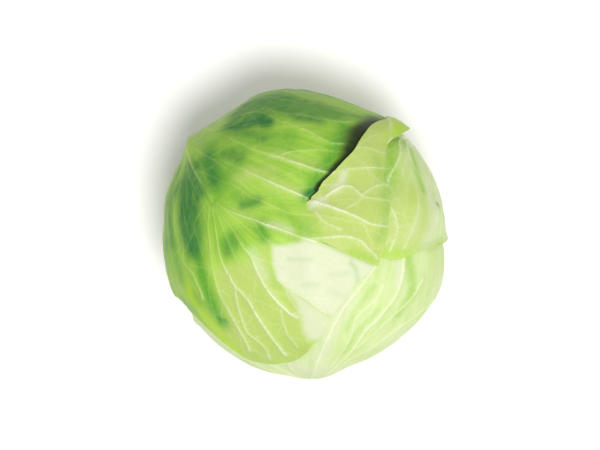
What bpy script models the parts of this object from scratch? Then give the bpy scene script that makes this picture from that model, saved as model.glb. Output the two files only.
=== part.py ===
"""White cabbage head: a tight heart on a short cut stem, wrapped in six separate leaves.

The head stands on the flat cut face of its stem, with the origin at the middle of that face
and +Z up. Every surface is a distance from the middle of the head along a direction, so that
the leaves lie over each other like skins, each a fixed pitch further out where it covers another.
"""
from dataclasses import dataclass
import math

import bmesh
import bpy
import numpy as np

COLLECTION_NAME = "white_cabbage"

# Driving sizes, in metres
HEAD_CENTRE_HEIGHT = 0.078
HEART_RADIUS = 0.0822
HEART_HALF_HEIGHT = 0.0715
HEART_SQUARENESS = 2.25
LEAF_THICKNESS = 0.0010
LEAF_PITCH = 0.00235
STEM_RADIUS = 0.0160
STEM_HEIGHT = 0.0142
STEM_EDGE = 0.0012

# The hollow round the stem, as an angle from straight down at the middle of the head
STEM_HOLLOW_DEPTH = 0.0095
STEM_HOLLOW_ANGLE = 20.0
LEAF_CLEAR_ANGLE = 15.6

# Broad swellings and flats of the head: azimuth, polar angle, width (degrees), height (metres)
SWELLINGS = (
    (112.0, 84.0, 20.0, 0.0042),
    (342.0, 84.0, 26.0, 0.0042),
    (225.0, 84.0, 24.0, -0.0022),
    (292.0, 84.0, 20.0, -0.0016),
)

# How a leaf that lies on another follows the step at that leaf's margin, in degrees
STEP_APRON = 3.5
STEP_FALL = 14.0

# Margins: how far they wave in and out, in degrees, as a sum of a broad and a fine wave, and the
# share of a leaf's reach at which its margin starts to stand off
MARGIN_WAVE = 0.9
BROAD_WAVES = 7.0
BROAD_WAVE_SHARE = 0.6
FINE_WAVES = 12.0
MARGIN_START = 0.78

# Midrib: how fast it grows below the fan point, and the width of what lies over it
RIB_GROWTH_ANGLE = 26.0
RIB_GROWTH_POWER = 1.5
RIB_BEND_POWER = 2.5
RIB_HALF_WIDTH = 0.0070
RIB_SHARPNESS = 1.3
RIB_COVER_WIDTH = 0.0200
RIB_COVER_GAIN = 1.3
VEIN_HEIGHT = 0.00030
VEIN_START_ANGLE = 12.0
VEIN_END_SHARE = 0.3

# The torn flap of the outermost leaf: how far it stands off the leaf, hangs over its crack or
# opens it, and stands off beside its side rip, in metres
FLAP_LIFT = 0.0065
FLAP_LIFT_REACH = 0.028
FLAP_CORNER_DROP = 0.75
FLAP_OVERHANG = 0.0012
FLAP_CORNER_LESS = 0.9
FLAP_OPENING = 0.0006
FLAP_SIDE_LIFT = 0.0018
FLAP_SIDE_GAP = 0.0007
FLAP_SIDE_REACH = 0.020

# Where along the crack, from 0 at its root to 1 at the flap's corner, the flap changes
OPENING_SPAN = (0.0, 0.06)
HANGING_SPAN = (0.30, 0.65)
DROP_SPAN = (0.55, 1.0)
CORNER_SPAN = (0.78, 0.98)
SIDE_LIFT_SPAN = (0.0, 0.4)

# The pointed ear that the flap's corner ends in: headings and reach in degrees, lift in metres
EAR_HEADING = -90.5
EAR_HALF_WIDTH = 11.0
EAR_LENGTH = 9.0
EAR_LIFT = 0.0030
EAR_POINT_POWER = 1.15
EAR_SPREAD_POWER = 1.5

HEART_SEGMENTS = 40
HEART_RINGS = 22
HEART_LAP_DEPTH = 0.0012
HEART_LEAVES = 5
HEART_LAP_CLIMB = 1.3
HEART_CALM_SHARE = 0.1
STEM_STEPS = 40
STEM_WAIST = 0.0006

SEAM_JOIN = 0.00002
LEAF_ROUGHNESS = 0.42
HEART_COLOUR = (0.78, 0.84, 0.60)
HEART_ROUGHNESS = 0.45
STEM_COLOUR = (0.86, 0.86, 0.70)
STEM_ROUGHNESS = 0.6


@dataclass(frozen=True)
class Leaf:
    """One wrapper leaf, laid out round its fan point, where the midrib parts into veins.

    Headings are degrees round the fan point, with 0 away from the stalk and 180 to the stalk.
    A reach is the angle from the fan point, seen from the middle of the head.
    """

    name: str
    colour: tuple
    stalk_azimuth: float
    stalk_polar: float
    fan_azimuth: float
    fan_polar: float
    outline: tuple
    rib_height: float
    wave_start: float
    flare: float = 0.0003
    rib_bend: float = 0.0
    rings: int = 11
    rays: tuple = ((0, -180.0), (3, -162.0), (36, 162.0), (39, 180.0))
    veins_every: int = 3


@dataclass(frozen=True)
class Tear:
    """The two rips that free a flap of a leaf, as headings, and the ring that joins their ends."""

    side_heading: float
    root_heading: float
    corner_heading: float
    ring: int
    share: tuple


WRAPPER_LEAVES = (
    Leaf("wrapper_leaf_6", (0.62, 0.74, 0.36), 92.0, 163.3, 88.0, 62.0,
         ((-180, 101), (-150, 88), (-120, 74), (-85, 66), (-45, 60), (0, 58), (45, 61),
          (85, 67), (120, 75), (150, 88)), 0.0026, wave_start=0.4),
    Leaf("wrapper_leaf_5", (0.60, 0.73, 0.32), 336.0, 163.3, 344.0, 72.0,
         ((-180, 91), (-150, 84), (-120, 72), (-85, 62), (-45, 58), (0, 60), (45, 60),
          (85, 60), (120, 70), (150, 84)), 0.0028, wave_start=2.1),
    Leaf("wrapper_leaf_4", (0.58, 0.72, 0.34), 205.0, 163.3, 206.0, 68.0,
         ((-180, 95), (-150, 86), (-120, 76), (-85, 66), (-45, 60), (0, 62), (45, 62),
          (85, 66), (120, 76), (150, 86)), 0.0028, wave_start=4.0),
    Leaf("wrapper_leaf_3", (0.66, 0.80, 0.42), 271.0, 163.3, 273.0, 80.0,
         ((-180, 83), (-150, 74), (-120, 58), (-90, 54), (-70, 58), (-40, 68), (0, 80),
          (32, 86), (58, 87), (73, 82), (84, 70), (93, 60), (110, 56), (125, 60), (150, 73)),
         0.0032, wave_start=1.2),
    Leaf("wrapper_leaf_2", (0.54, 0.72, 0.26), 45.0, 163.3, 42.0, 84.0,
         ((-180, 79), (-152, 66), (-120, 50), (-92, 42), (-70, 43.5), (-50, 52), (-43, 57.5),
          (-38, 62), (-31, 66), (-18, 69), (5, 70), (30, 66), (60, 60), (90, 56), (120, 57),
          (150, 68)), 0.0032, wave_start=3.3),
    Leaf("wrapper_leaf_1", (0.36, 0.56, 0.13), 120.0, 163.5, 157.2, 41.1,
         ((-180, 123.5), (-163, 112), (-147, 92), (-135, 76), (-122, 71), (-112, 74.5),
          (-104, 82.2), (-97, 88), (-90, 84), (-82, 77), (-70, 71), (-55, 72), (-39, 73),
          (-29.6, 72.5), (-21, 70), (-12, 69.5), (-3, 69), (12, 72), (28, 75), (38, 73.5),
          (44, 70.5), (49.5, 62.5), (55, 56.5), (62, 51), (71, 47.8), (80, 48.5), (92, 55),
          (106, 64), (125, 78), (147, 100), (163, 115)), 0.0042,
         wave_start=5.2, flare=0.0012, rib_bend=15.5, rings=14,
         rays=((0, -180.0), (5, -157.0), (13, -97.0), (20, -50.3), (23, -29.6),
               (46, 157.0), (51, 180.0))),
)

FLAP = Tear(side_heading=-29.6, root_heading=-50.3, corner_heading=-97.0, ring=7,
            share=((-180, 0.50), (-150, 0.52), (-125, 0.62), (-110, 0.84), (-97, 0.985),
                   (-89.7, 0.885), (-75.4, 0.79), (-67.7, 0.70), (-56, 0.585), (-50.3, 0.54),
                   (-40, 0.59), (-29.6, 0.65), (-10, 0.57), (20, 0.50), (90, 0.50)))


def smoothstep(value):
    """Ease from 0 to 1 while value runs from 0 to 1."""
    t = np.clip(value, 0.0, 1.0)
    return t * t * (3.0 - 2.0 * t)


def ramp(value, span):
    """Ease from 0 to 1 while value runs over a span."""
    start, end = span
    return smoothstep((value - start) / (end - start))


def smooth_loop(points, heading):
    """Read a closed curve of (heading, value) pairs at the headings, in degrees."""
    at, value = np.array(points, dtype=float).T
    at = np.concatenate((at[-2:] - 360.0, at, at[:2] + 360.0))
    value = np.concatenate((value[-2:], value, value[:2]))
    slope = np.gradient(value, at)
    wrapped = (heading + 180.0) % 360.0 - 180.0
    i = np.clip(np.searchsorted(at, wrapped, side="right") - 1, 0, len(at) - 2)
    width = at[i + 1] - at[i]
    t = (wrapped - at[i]) / width
    start = (1 + 2 * t) * (1 - t) ** 2 * value[i] + t * (1 - t) ** 2 * width * slope[i]
    end = t * t * (3 - 2 * t) * value[i + 1] - t * t * (1 - t) * width * slope[i + 1]
    return start + end


def direction(azimuth, polar):
    """Give the unit direction at an azimuth and a polar angle from straight up, in degrees."""
    a = np.radians(azimuth)
    p = np.radians(polar)
    return np.stack((np.sin(p) * np.cos(a), np.sin(p) * np.sin(a), np.cos(p)), axis=-1)


def heart_radius(ways):
    """Give the heart's radius along each direction: a squared spheroid, hollow at the stem."""
    side = np.hypot(ways[..., 0], ways[..., 1]) / HEART_RADIUS
    rise = np.abs(ways[..., 2]) / HEART_HALF_HEIGHT
    radius = (side ** HEART_SQUARENESS + rise ** HEART_SQUARENESS) ** (-1.0 / HEART_SQUARENESS)
    for azimuth, polar, width, height in SWELLINGS:
        away = np.degrees(np.arccos(np.clip(ways @ direction(azimuth, polar), -1.0, 1.0)))
        radius = radius + height * np.exp(-(away / width) ** 2)
    from_below = np.degrees(np.arccos(np.clip(-ways[..., 2], -1.0, 1.0)))
    return radius - STEM_HOLLOW_DEPTH * np.exp(-(from_below / STEM_HOLLOW_ANGLE) ** 4)


def fan_frame(leaf):
    """Give the axes at the leaf's fan point: across, away from the stalk, and outwards."""
    out = direction(leaf.fan_azimuth, leaf.fan_polar)
    stalk = direction(leaf.stalk_azimuth, leaf.stalk_polar)
    away = out * np.dot(out, stalk) - stalk
    away /= np.linalg.norm(away)
    across = np.cross(away, out)
    turn = math.radians(leaf.rib_bend)
    bent = away * math.cos(turn) + across * math.sin(turn)
    return np.cross(bent, out), bent, out


def from_fan(leaf, reach, heading):
    """Give the directions at a reach and a heading from the leaf's fan point."""
    across, away, out = fan_frame(leaf)
    r = np.radians(reach)[..., None]
    h = np.radians(heading)[..., None]
    return out * np.cos(r) + (away * np.cos(h) + across * np.sin(h)) * np.sin(r)


def to_fan(leaf, ways):
    """Give the reach and the heading of each direction from the leaf's fan point."""
    across, away, out = fan_frame(leaf)
    reach = np.degrees(np.arccos(np.clip(ways @ out, -1.0, 1.0)))
    return reach, np.degrees(np.arctan2(ways @ across, ways @ away))


def margin_wave(leaf, heading):
    """Give the margin's slow wave at a heading, from -1 to 1, still towards the stalk."""
    turn = np.radians(heading)
    broad = np.sin(BROAD_WAVES * turn + leaf.wave_start)
    fine = np.sin(FINE_WAVES * turn - leaf.wave_start)
    wave = BROAD_WAVE_SHARE * broad + (1.0 - BROAD_WAVE_SHARE) * fine
    return wave * (1.0 - towards_stalk(heading))


def towards_stalk(heading):
    """Give how far a heading points to the stalk: 1 at the stalk, nearly 0 in front."""
    return ((1.0 - np.cos(np.radians(heading))) / 2.0) ** 2


def margin_reach(leaf, heading):
    """Give the reach of the leaf's margin at a heading, in degrees."""
    return smooth_loop(leaf.outline, heading) + MARGIN_WAVE * margin_wave(leaf, heading)


def rib_size(leaf, reach, heading):
    """Give the midrib's full height at a reach, and the distance across from its middle."""
    grown = leaf.rib_height * (1.0 - np.exp(-(reach / RIB_GROWTH_ANGLE) ** RIB_GROWTH_POWER))
    off_rib = np.radians((heading % 360.0) - 180.0)
    behind = np.cos(off_rib) > 0.0
    aside = np.where(behind, np.abs(np.sin(off_rib)), 1.0) * np.sin(np.radians(reach))
    return grown, aside * HEART_RADIUS


def rib_relief(leaf, reach, heading):
    """Give the height of the midrib above the leaf: a roof with hollow sides."""
    grown, aside = rib_size(leaf, reach, heading)
    return grown * np.exp(-(aside / RIB_HALF_WIDTH) ** RIB_SHARPNESS)


def skin_radius(ways, below):
    """Give the outer radius of a leaf that lies over the heart and the leaves in below."""
    radius = heart_radius(ways) + LEAF_PITCH
    for leaf in below:
        reach, heading = to_fan(leaf, ways)
        past = margin_reach(leaf, heading) + STEP_APRON + STEP_FALL - reach
        grown, aside = rib_size(leaf, reach, heading)
        swell = RIB_COVER_GAIN * grown * np.exp(-(aside / RIB_COVER_WIDTH) ** 2)
        radius = radius + smoothstep(past / STEP_FALL) * (LEAF_PITCH + swell)
    return radius


def clear_stem(ways):
    """Move directions that come too near the stem out to its clear angle."""
    limit = math.radians(LEAF_CLEAR_ANGLE)
    level = np.hypot(ways[..., 0], ways[..., 1])
    inside = -ways[..., 2] > math.cos(limit)
    scale = np.where(inside, math.sin(limit) / np.maximum(level, 1e-9), 1.0)
    down = np.where(inside, -math.cos(limit), ways[..., 2])
    return np.stack((ways[..., 0] * scale, ways[..., 1] * scale, down), axis=-1)


def grid_mesh(columns, rows):
    """Give an open grid, with each vertex's column and row as whole numbers."""
    mesh = bmesh.new()
    bmesh.ops.create_grid(mesh, x_segments=columns, y_segments=rows, size=1.0)
    flat = np.array([vertex.co[:2] for vertex in mesh.verts])
    column = np.rint((flat[:, 0] + 1.0) / 2.0 * columns).astype(int)
    row = np.rint((flat[:, 1] + 1.0) / 2.0 * rows).astype(int)
    return mesh, column, row


def ray_headings(leaf, ray):
    """Give the heading of each ray of the leaf's grid."""
    marks, headings = np.array(leaf.rays).T
    return np.interp(ray, marks, headings)


def ring_share(leaf, tear, ring, heading):
    """Give how far out a ring lies, from 0 at the fan point to 1 at the margin."""
    even = ring / leaf.rings
    if tear is None:
        return even
    bent = smooth_loop(tear.share, heading)
    inner = bent * ring / tear.ring
    outer = 1.0 - (1.0 - bent) * (leaf.rings - ring) / (leaf.rings - tear.ring)
    return np.where(ring <= tear.ring, inner, outer)


def leaf_points(leaf, below, tear, ray, ring):
    """Give the outer surface points of a leaf at whole rays and rings, and their layout."""
    heading = ray_headings(leaf, ray)
    reach = margin_reach(leaf, heading) * ring_share(leaf, tear, ring, heading)
    at_stalk = (reach / leaf.outline[0][1]) ** RIB_BEND_POWER
    bend = leaf.rib_bend * towards_stalk(heading) * at_stalk
    turned = heading - bend
    ways = clear_stem(from_fan(leaf, reach, turned))
    on_vein = np.where(ray % leaf.veins_every == 0, VEIN_HEIGHT, -VEIN_HEIGHT)
    from_margin = (1.0 - ring / leaf.rings) / VEIN_END_SHARE
    veins = on_vein * smoothstep(reach / VEIN_START_ANGLE) * smoothstep(from_margin)
    near_margin = smoothstep((ring / leaf.rings - MARGIN_START) / (1.0 - MARGIN_START))
    flare = leaf.flare * near_margin * (0.5 - 0.5 * margin_wave(leaf, heading))
    radius = skin_radius(ways, below) + rib_relief(leaf, reach, heading) + veins + flare
    return ways, radius, reach, turned


def place(mesh, ways, radius):
    """Move a mesh's vertices to their radius along each direction from the head's middle."""
    points = ways * radius[:, None]
    points[:, 2] += HEAD_CENTRE_HEIGHT
    for vertex, point in zip(mesh.verts, points):
        vertex.co = point


def fan_surface(leaf, below, tear=None):
    """Lay the whole leaf out as a grid of rays and rings, leaving out the cells of a flap."""
    mesh, ray, ring = grid_mesh(leaf.rays[-1][0], leaf.rings)
    if tear is not None:
        side, corner = flap_rays(leaf, tear)
        mesh.verts.index_update()
        flap = [face for face in mesh.faces
                if min(ring[v.index] for v in face.verts) >= tear.ring
                and min(ray[v.index] for v in face.verts) >= corner
                and max(ray[v.index] for v in face.verts) <= side]
    ways, radius, _, _ = leaf_points(leaf, below, tear, ray, ring)
    place(mesh, ways, radius)
    if tear is not None:
        bmesh.ops.delete(mesh, geom=flap, context="FACES")
    return mesh


def flap_rays(leaf, tear):
    """Give the first and last ray of the flap: the side rip and the corner of the crack."""
    marks = {heading: mark for mark, heading in leaf.rays}
    return marks[tear.side_heading], marks[tear.corner_heading]


def flap_surface(leaf, below, tear):
    """Lay the flap between the two rips out, lifted off the leaf and hanging over its crack."""
    side, corner = flap_rays(leaf, tear)
    mesh, column, row = grid_mesh(side - corner, leaf.rings - tear.ring)
    ray = corner + column
    ways, radius, reach, turned = leaf_points(leaf, below, tear, ray, tear.ring + row)
    heading = ray_headings(leaf, ray)
    root = margin_reach(leaf, heading) * smooth_loop(tear.share, heading)
    past_root = np.radians(reach - root) * HEART_RADIUS
    span = tear.root_heading - tear.corner_heading
    along = np.clip((tear.root_heading - heading) / span, 0.0, 1.0)
    outwards = row / (leaf.rings - tear.ring)
    crack_fade = np.exp(-past_root / FLAP_LIFT_REACH)
    across = np.sin(np.radians(reach)) * HEART_RADIUS
    from_side = np.radians(tear.side_heading - heading) * across
    side_fade = np.exp(-from_side / FLAP_SIDE_REACH) * ramp(outwards, SIDE_LIFT_SPAN)
    off_ear = np.abs(heading - EAR_HEADING) / EAR_HALF_WIDTH
    ear = np.clip(1.0 - off_ear, 0.0, 1.0) ** EAR_POINT_POWER * outwards ** EAR_SPREAD_POWER
    rise = along * (1.0 - FLAP_CORNER_DROP * ramp(along, DROP_SPAN)) * crack_fade
    lift = FLAP_LIFT * rise + FLAP_SIDE_LIFT * side_fade + EAR_LIFT * ear
    hanging = ramp(along, HANGING_SPAN) * (1.0 - FLAP_CORNER_LESS * ramp(along, CORNER_SPAN))
    shift = FLAP_OVERHANG * hanging - FLAP_OPENING * ramp(along, OPENING_SPAN) * (1.0 - hanging)
    moved = reach - np.degrees(shift * crack_fade / HEART_RADIUS) + EAR_LENGTH * ear
    gap = np.degrees(FLAP_SIDE_GAP * side_fade / across)
    place(mesh, from_fan(leaf, moved, turned - gap), radius + lift)
    return mesh


def merge(target, source):
    """Add the source mesh to the target, and free the source."""
    copy = bpy.data.meshes.new("merged")
    source.to_mesh(copy)
    source.free()
    target.from_mesh(copy)
    bpy.data.meshes.remove(copy)


def finish_colour(obj, colour, roughness):
    """Give the object its own plain material."""
    material = bpy.data.materials.new(obj.name + "_finish")
    material.use_nodes = True
    shader = material.node_tree.nodes["Principled BSDF"]
    shader.inputs["Base Color"].default_value = (*colour, 1.0)
    shader.inputs["Roughness"].default_value = roughness
    shader.inputs["Metallic"].default_value = 0.0
    obj.data.materials.append(material)


def add_object(name, mesh, collection):
    """Turn a mesh under construction into a smooth-shaded object of the collection."""
    data = bpy.data.meshes.new(name)
    mesh.to_mesh(data)
    mesh.free()
    data.shade_smooth()
    obj = bpy.data.objects.new(name, data)
    collection.objects.link(obj)
    return obj


def make_leaf(leaf, below, tear, collection):
    """Make one wrapper leaf: an open surface, split into triangles, given its thickness."""
    mesh = fan_surface(leaf, below, tear)
    if tear is not None:
        merge(mesh, flap_surface(leaf, below, tear))
    bmesh.ops.remove_doubles(mesh, verts=mesh.verts, dist=SEAM_JOIN)
    bmesh.ops.triangulate(mesh, faces=mesh.faces)
    bmesh.ops.recalc_face_normals(mesh, faces=mesh.faces)
    outer = max(mesh.faces, key=lambda face: face.calc_center_median().z)
    if outer.normal.z < 0.0:
        bmesh.ops.reverse_faces(mesh, faces=mesh.faces)
    obj = add_object(leaf.name, mesh, collection)
    wall = obj.modifiers.new("blade", "SOLIDIFY")
    wall.thickness = LEAF_THICKNESS
    wall.offset = -1.0
    finish_colour(obj, leaf.colour, LEAF_ROUGHNESS)
    return obj


def make_heart(collection):
    """Make the tight inner head, its lapped leaves raised from its surface by a formula."""
    mesh = bmesh.new()
    bmesh.ops.create_uvsphere(mesh, u_segments=HEART_SEGMENTS, v_segments=HEART_RINGS, radius=1.0)
    ways = np.array([vertex.co.normalized() for vertex in mesh.verts])
    azimuth = np.arctan2(ways[:, 1], ways[:, 0]) / (2.0 * math.pi)
    climb = (ways[:, 2] + 1.0) / 2.0
    lap = (azimuth * HEART_LEAVES + HEART_LAP_CLIMB * climb) % 1.0
    from_stem = smoothstep(climb / HEART_CALM_SHARE)
    from_crown = smoothstep((1.0 - climb) / HEART_CALM_SHARE)
    sunk = HEART_LAP_DEPTH * lap * from_stem * from_crown
    place(mesh, ways, heart_radius(ways) - sunk)
    obj = add_object("heart", mesh, collection)
    finish_colour(obj, HEART_COLOUR, HEART_ROUGHNESS)
    return obj


def make_stem(collection):
    """Make the cut stem: a turned stub with a flat face below and an eased edge."""
    profile = ((0.0, STEM_HEIGHT), (STEM_RADIUS - STEM_EDGE, STEM_HEIGHT),
               (STEM_RADIUS, STEM_HEIGHT - STEM_EDGE), (STEM_RADIUS - STEM_WAIST, STEM_HEIGHT / 2.0),
               (STEM_RADIUS, STEM_EDGE), (STEM_RADIUS - STEM_EDGE, 0.0), (0.0, 0.0))
    data = bpy.data.meshes.new("stem")
    data.from_pydata([(x, 0.0, z) for x, z in profile],
                     [(i, i + 1) for i in range(len(profile) - 1)], [])
    obj = bpy.data.objects.new("stem", data)
    collection.objects.link(obj)
    turn = obj.modifiers.new("turn", "SCREW")
    turn.steps = STEM_STEPS
    turn.render_steps = STEM_STEPS
    turn.use_merge_vertices = True
    turn.merge_threshold = SEAM_JOIN
    turn.use_smooth_shade = True
    finish_colour(obj, STEM_COLOUR, STEM_ROUGHNESS)
    return obj


def main():
    """Clear the scene and build the whole head."""
    for obj in list(bpy.data.objects):
        bpy.data.objects.remove(obj, do_unlink=True)
    collection = bpy.data.collections.new(COLLECTION_NAME)
    bpy.context.scene.collection.children.link(collection)
    make_stem(collection)
    make_heart(collection)
    for place_in_stack, leaf in enumerate(WRAPPER_LEAVES):
        outermost = place_in_stack == len(WRAPPER_LEAVES) - 1
        make_leaf(leaf, WRAPPER_LEAVES[:place_in_stack], FLAP if outermost else None, collection)


main()
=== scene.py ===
"""White cabbage: the looks of an upright head, six wrapper leaves over a tight heart on a cut stem.

Every surface is a distance from the middle of the head along a direction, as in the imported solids,
so each finer piece lies where its solid lies. Lengths are in metres and angles in degrees unless
a name says otherwise. A leaf is laid out round its fan point, where the midrib parts into veins: a
heading of 0 points away from the stalk and 180 to it, and a reach is the angle from the fan point.
"""
from dataclasses import dataclass, field
from enum import Enum
import logging
import math

import bpy
import numpy as np
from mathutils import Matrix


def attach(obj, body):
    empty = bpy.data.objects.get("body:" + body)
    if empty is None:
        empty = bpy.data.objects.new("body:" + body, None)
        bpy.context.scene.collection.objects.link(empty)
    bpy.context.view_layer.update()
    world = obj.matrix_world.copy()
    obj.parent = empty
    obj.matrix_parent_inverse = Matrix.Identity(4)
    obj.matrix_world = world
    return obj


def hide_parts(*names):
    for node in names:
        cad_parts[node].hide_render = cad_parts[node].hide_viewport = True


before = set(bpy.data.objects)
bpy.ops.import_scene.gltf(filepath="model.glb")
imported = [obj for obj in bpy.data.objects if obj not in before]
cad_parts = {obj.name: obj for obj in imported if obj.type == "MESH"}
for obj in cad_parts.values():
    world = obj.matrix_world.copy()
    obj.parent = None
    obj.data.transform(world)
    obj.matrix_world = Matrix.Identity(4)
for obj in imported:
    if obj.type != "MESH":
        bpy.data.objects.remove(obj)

Array = np.ndarray
Colour = tuple[float, float, float]
LOG = logging.getLogger("white_cabbage")
MM = 0.001
FULL_TURN = 360.0
HALF_TURN = 180.0
TINY = 1e-9
TINY_SQUARE = 1e-12
SHARP_ANGLE = 55.0


def smoothstep(value: Array) -> Array:
    """Ease from 0 to 1 while value runs from 0 to 1: three times its square less twice its cube."""
    t = np.clip(value, 0.0, 1.0)
    return t * t * (3.0 - 2.0 * t)


def ease(value: Array, ends: tuple[float, float]) -> Array:
    """Ease from 0 to 1 while value runs from the first end to the second."""
    return smoothstep((value - ends[0]) / (ends[1] - ends[0]))


def direction(azimuth: Array | float, polar: Array | float) -> Array:
    """Give unit directions.

    Args:
        azimuth: The angle round the upright axis, from x to y.
        polar: The angle from straight up.

    Returns:
        The directions, their three numbers last.
    """
    a = np.radians(azimuth)
    p = np.radians(polar)
    return np.stack((np.sin(p) * np.cos(a), np.sin(p) * np.sin(a), np.cos(p)), axis=-1)


def unit(vectors: Array) -> Array:
    """Scale vectors to length one."""
    return vectors / np.linalg.norm(vectors, axis=-1, keepdims=True)


def angle_to(ways: Array, way: Array) -> Array:
    """Give the angle in degrees between each direction and one other."""
    return np.degrees(np.arccos(np.clip(ways @ way, -1.0, 1.0)))


def smooth_curve(at: Array, value: Array, where: Array) -> Array:
    """Read a curve that runs smoothly through known values.

    Between two places the value follows a cubic, whose slope at each is that of its neighbours.

    Args:
        at: The known places, rising.
        value: A number, or a row of numbers, at each of them.
        where: The places to read at.

    Returns:
        The numbers or rows there.
    """
    slope = np.gradient(value, at, axis=0)
    i = np.clip(np.searchsorted(at, where, side="right") - 1, 0, len(at) - 2)
    width = at[i + 1] - at[i]
    t = (where - at[i]) / width
    if value.ndim > 1:
        width, t = width[:, None], t[:, None]
    start = (1 + 2 * t) * (1 - t) ** 2 * value[i] + t * (1 - t) ** 2 * width * slope[i]
    end = t * t * (3 - 2 * t) * value[i + 1] - t * t * (1 - t) * width * slope[i + 1]
    return start + end


def smooth_loop(points: tuple, heading: Array) -> Array:
    """Read a closed smooth curve of (heading, value) pairs.

    Args:
        points: The pairs, by rising heading from -180.
        heading: The headings to read at.

    Returns:
        The values at the headings.
    """
    at, value = np.array(points, dtype=float).T
    at = np.concatenate((at[-2:] - FULL_TURN, at, at[:2] + FULL_TURN))
    value = np.concatenate((value[-2:], value, value[:2]))
    return smooth_curve(at, value, (heading + HALF_TURN) % FULL_TURN - HALF_TURN)


def to_stretches(places: Array, start: Array, along: Array) -> tuple[Array, Array, Array]:
    """Measure places from straight stretches.

    Args:
        places: The places.
        start: Where each stretch starts.
        along: The way from there to its end.

    Returns:
        For each place and stretch, the way from its start, the share along it of its nearest
        point, and the square of the distance to that point.
    """
    offset = places[:, None, :] - start
    length = np.maximum((along ** 2).sum(axis=1), TINY_SQUARE)
    share = np.clip((offset * along).sum(axis=2) / length, 0.0, 1.0)
    return offset, share, ((offset - share[..., None] * along) ** 2).sum(axis=2)


def ripples(ways: Array, wave: float, count: int, seed: int) -> Array:
    """Give gentle unevenness over directions: the mean of seeded plane waves, about -1 to 1.

    Args:
        ways: Unit directions.
        wave: The rough wavelength as an angle in degrees.
        count: How many waves are added.
        seed: The seed of their headings, lengths and starts.

    Returns:
        One value for each direction.
    """
    slowest, fastest = 0.7, 1.4
    rng = np.random.default_rng(seed)
    axes = unit(rng.normal(size=(count, 3)))
    pitch = FULL_TURN / wave * rng.uniform(slowest, fastest, count)
    start = rng.uniform(0.0, 2.0 * math.pi, count)
    return np.sin(ways @ (axes * pitch[:, None]).T + start).sum(axis=-1) / math.sqrt(count)


@dataclass(frozen=True)
class HeadForm:
    """The form of the whole head, the same as that of the solids.

    A swelling is an azimuth, a polar angle, a width and a height. The apron and the fall are the
    angles past a covered leaf's margin in which the leaf above stays up and then comes down.
    """

    centre_height: float = 0.078
    heart_size: float = 0.0822
    half_height: float = 0.0715
    squareness: float = 2.25
    pitch: float = 0.00235
    hollow_depth: float = 0.0095
    hollow_angle: float = 20.0
    hollow_power: float = 4.0
    clear_angle: float = 15.6
    apron: float = 3.5
    fall: float = 14.0
    cover_width: float = 0.0200
    cover_gain: float = 1.3
    swellings: tuple = ((112.0, 84.0, 20.0, 0.0042), (342.0, 84.0, 26.0, 0.0042),
                        (225.0, 84.0, 24.0, -0.0022), (292.0, 84.0, 20.0, -0.0016))

    def heart_radius(self, ways: Array) -> Array:
        """Give the heart's radius: a squared spheroid with soft swellings, hollow at the stem.

        Args:
            ways: Unit directions.

        Returns:
            The radius along each.
        """
        side = np.hypot(ways[..., 0], ways[..., 1]) / self.heart_size
        rise = np.abs(ways[..., 2]) / self.half_height
        radius = (side ** self.squareness + rise ** self.squareness) ** (-1.0 / self.squareness)
        for azimuth, polar, width, height in self.swellings:
            away = angle_to(ways, direction(azimuth, polar))
            radius = radius + height * np.exp(-(away / width) ** 2)
        from_below = angle_to(ways, np.array((0.0, 0.0, -1.0)))
        hollow = np.exp(-(from_below / self.hollow_angle) ** self.hollow_power)
        return radius - self.hollow_depth * hollow

    def skin_radius(self, ways: Array, below: "tuple[LeafPlan, ...]") -> Array:
        """Give the outer radius of a leaf over the heart and other leaves.

        Each leaf below adds one pitch and the swell of its midrib where it is covered, and the
        sum falls off smoothly past that leaf's margin.

        Args:
            ways: Unit directions.
            below: The leaves between the heart and this one.

        Returns:
            The radius along each direction.
        """
        radius = self.heart_radius(ways) + self.pitch
        for plan in below:
            reach, heading = plan.to_fan(ways)
            past = plan.margin_reach(heading) + self.apron + self.fall - reach
            grown, aside = plan.rib_size(reach, heading)
            swell = self.cover_gain * grown * np.exp(-(aside / self.cover_width) ** 2)
            radius = radius + smoothstep(past / self.fall) * (self.pitch + swell)
        return radius

    def clear_stem(self, ways: Array) -> Array:
        """Move directions that come too near the stem out to its clear angle.

        Args:
            ways: Unit directions.

        Returns:
            The same directions, those inside the clear angle moved onto it.
        """
        limit = math.radians(self.clear_angle)
        level = np.hypot(ways[..., 0], ways[..., 1])
        inside = -ways[..., 2] > math.cos(limit)
        scale = np.where(inside, math.sin(limit) / np.maximum(level, TINY), 1.0)
        down = np.where(inside, -math.cos(limit), ways[..., 2])
        return np.stack((ways[..., 0] * scale, ways[..., 1] * scale, down), axis=-1)

    def points(self, ways: Array, radius: Array) -> Array:
        """Give points on the head.

        Args:
            ways: Unit directions from the middle of the head.
            radius: The distance along each.

        Returns:
            The points, with the stem's face at height 0.
        """
        placed = ways * radius[..., None]
        placed[..., 2] += self.centre_height
        return placed


HEAD = HeadForm()


@dataclass(frozen=True)
class Course:
    """A vein's (reach, heading) points, and its strength where it starts and ends."""

    points: tuple
    start: float
    end: float


class MarkKind(Enum):
    """What a mark shows; the value is its column among a leaf's fields."""

    # Dark blue-green blotches, and painted shade on the top and left of the head and by the crack.
    DEEP_AND_SHADE = 0
    FRESH = 1
    # Waxy bloom, and a painted sheen along the head's rims.
    BLOOM_AND_SHEEN = 2
    PALLID = 3
    # Pale tissue, and a painted highlight on the large pale patch.
    WHITE_AND_HIGHLIGHT = 4
    LIME = 5
    # Painted shadow beside the crack, where the lifted flap shades the leaf.
    PAINTED_SHADOW = 6


class Sheet(Enum):
    """Which side of a tear a mark lies on."""

    BOTH = 0
    WHOLE = 1
    FLAP = 2


@dataclass(frozen=True)
class Mark:
    """A soft mark in the leaf: a band along (reach, heading) points, or the area inside them.

    The width is the half width of the band, or the softness of the area's edge, in degrees.
    """

    points: tuple
    width: float
    strength: float
    area: bool = False
    sheet: Sheet = Sheet.BOTH


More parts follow.
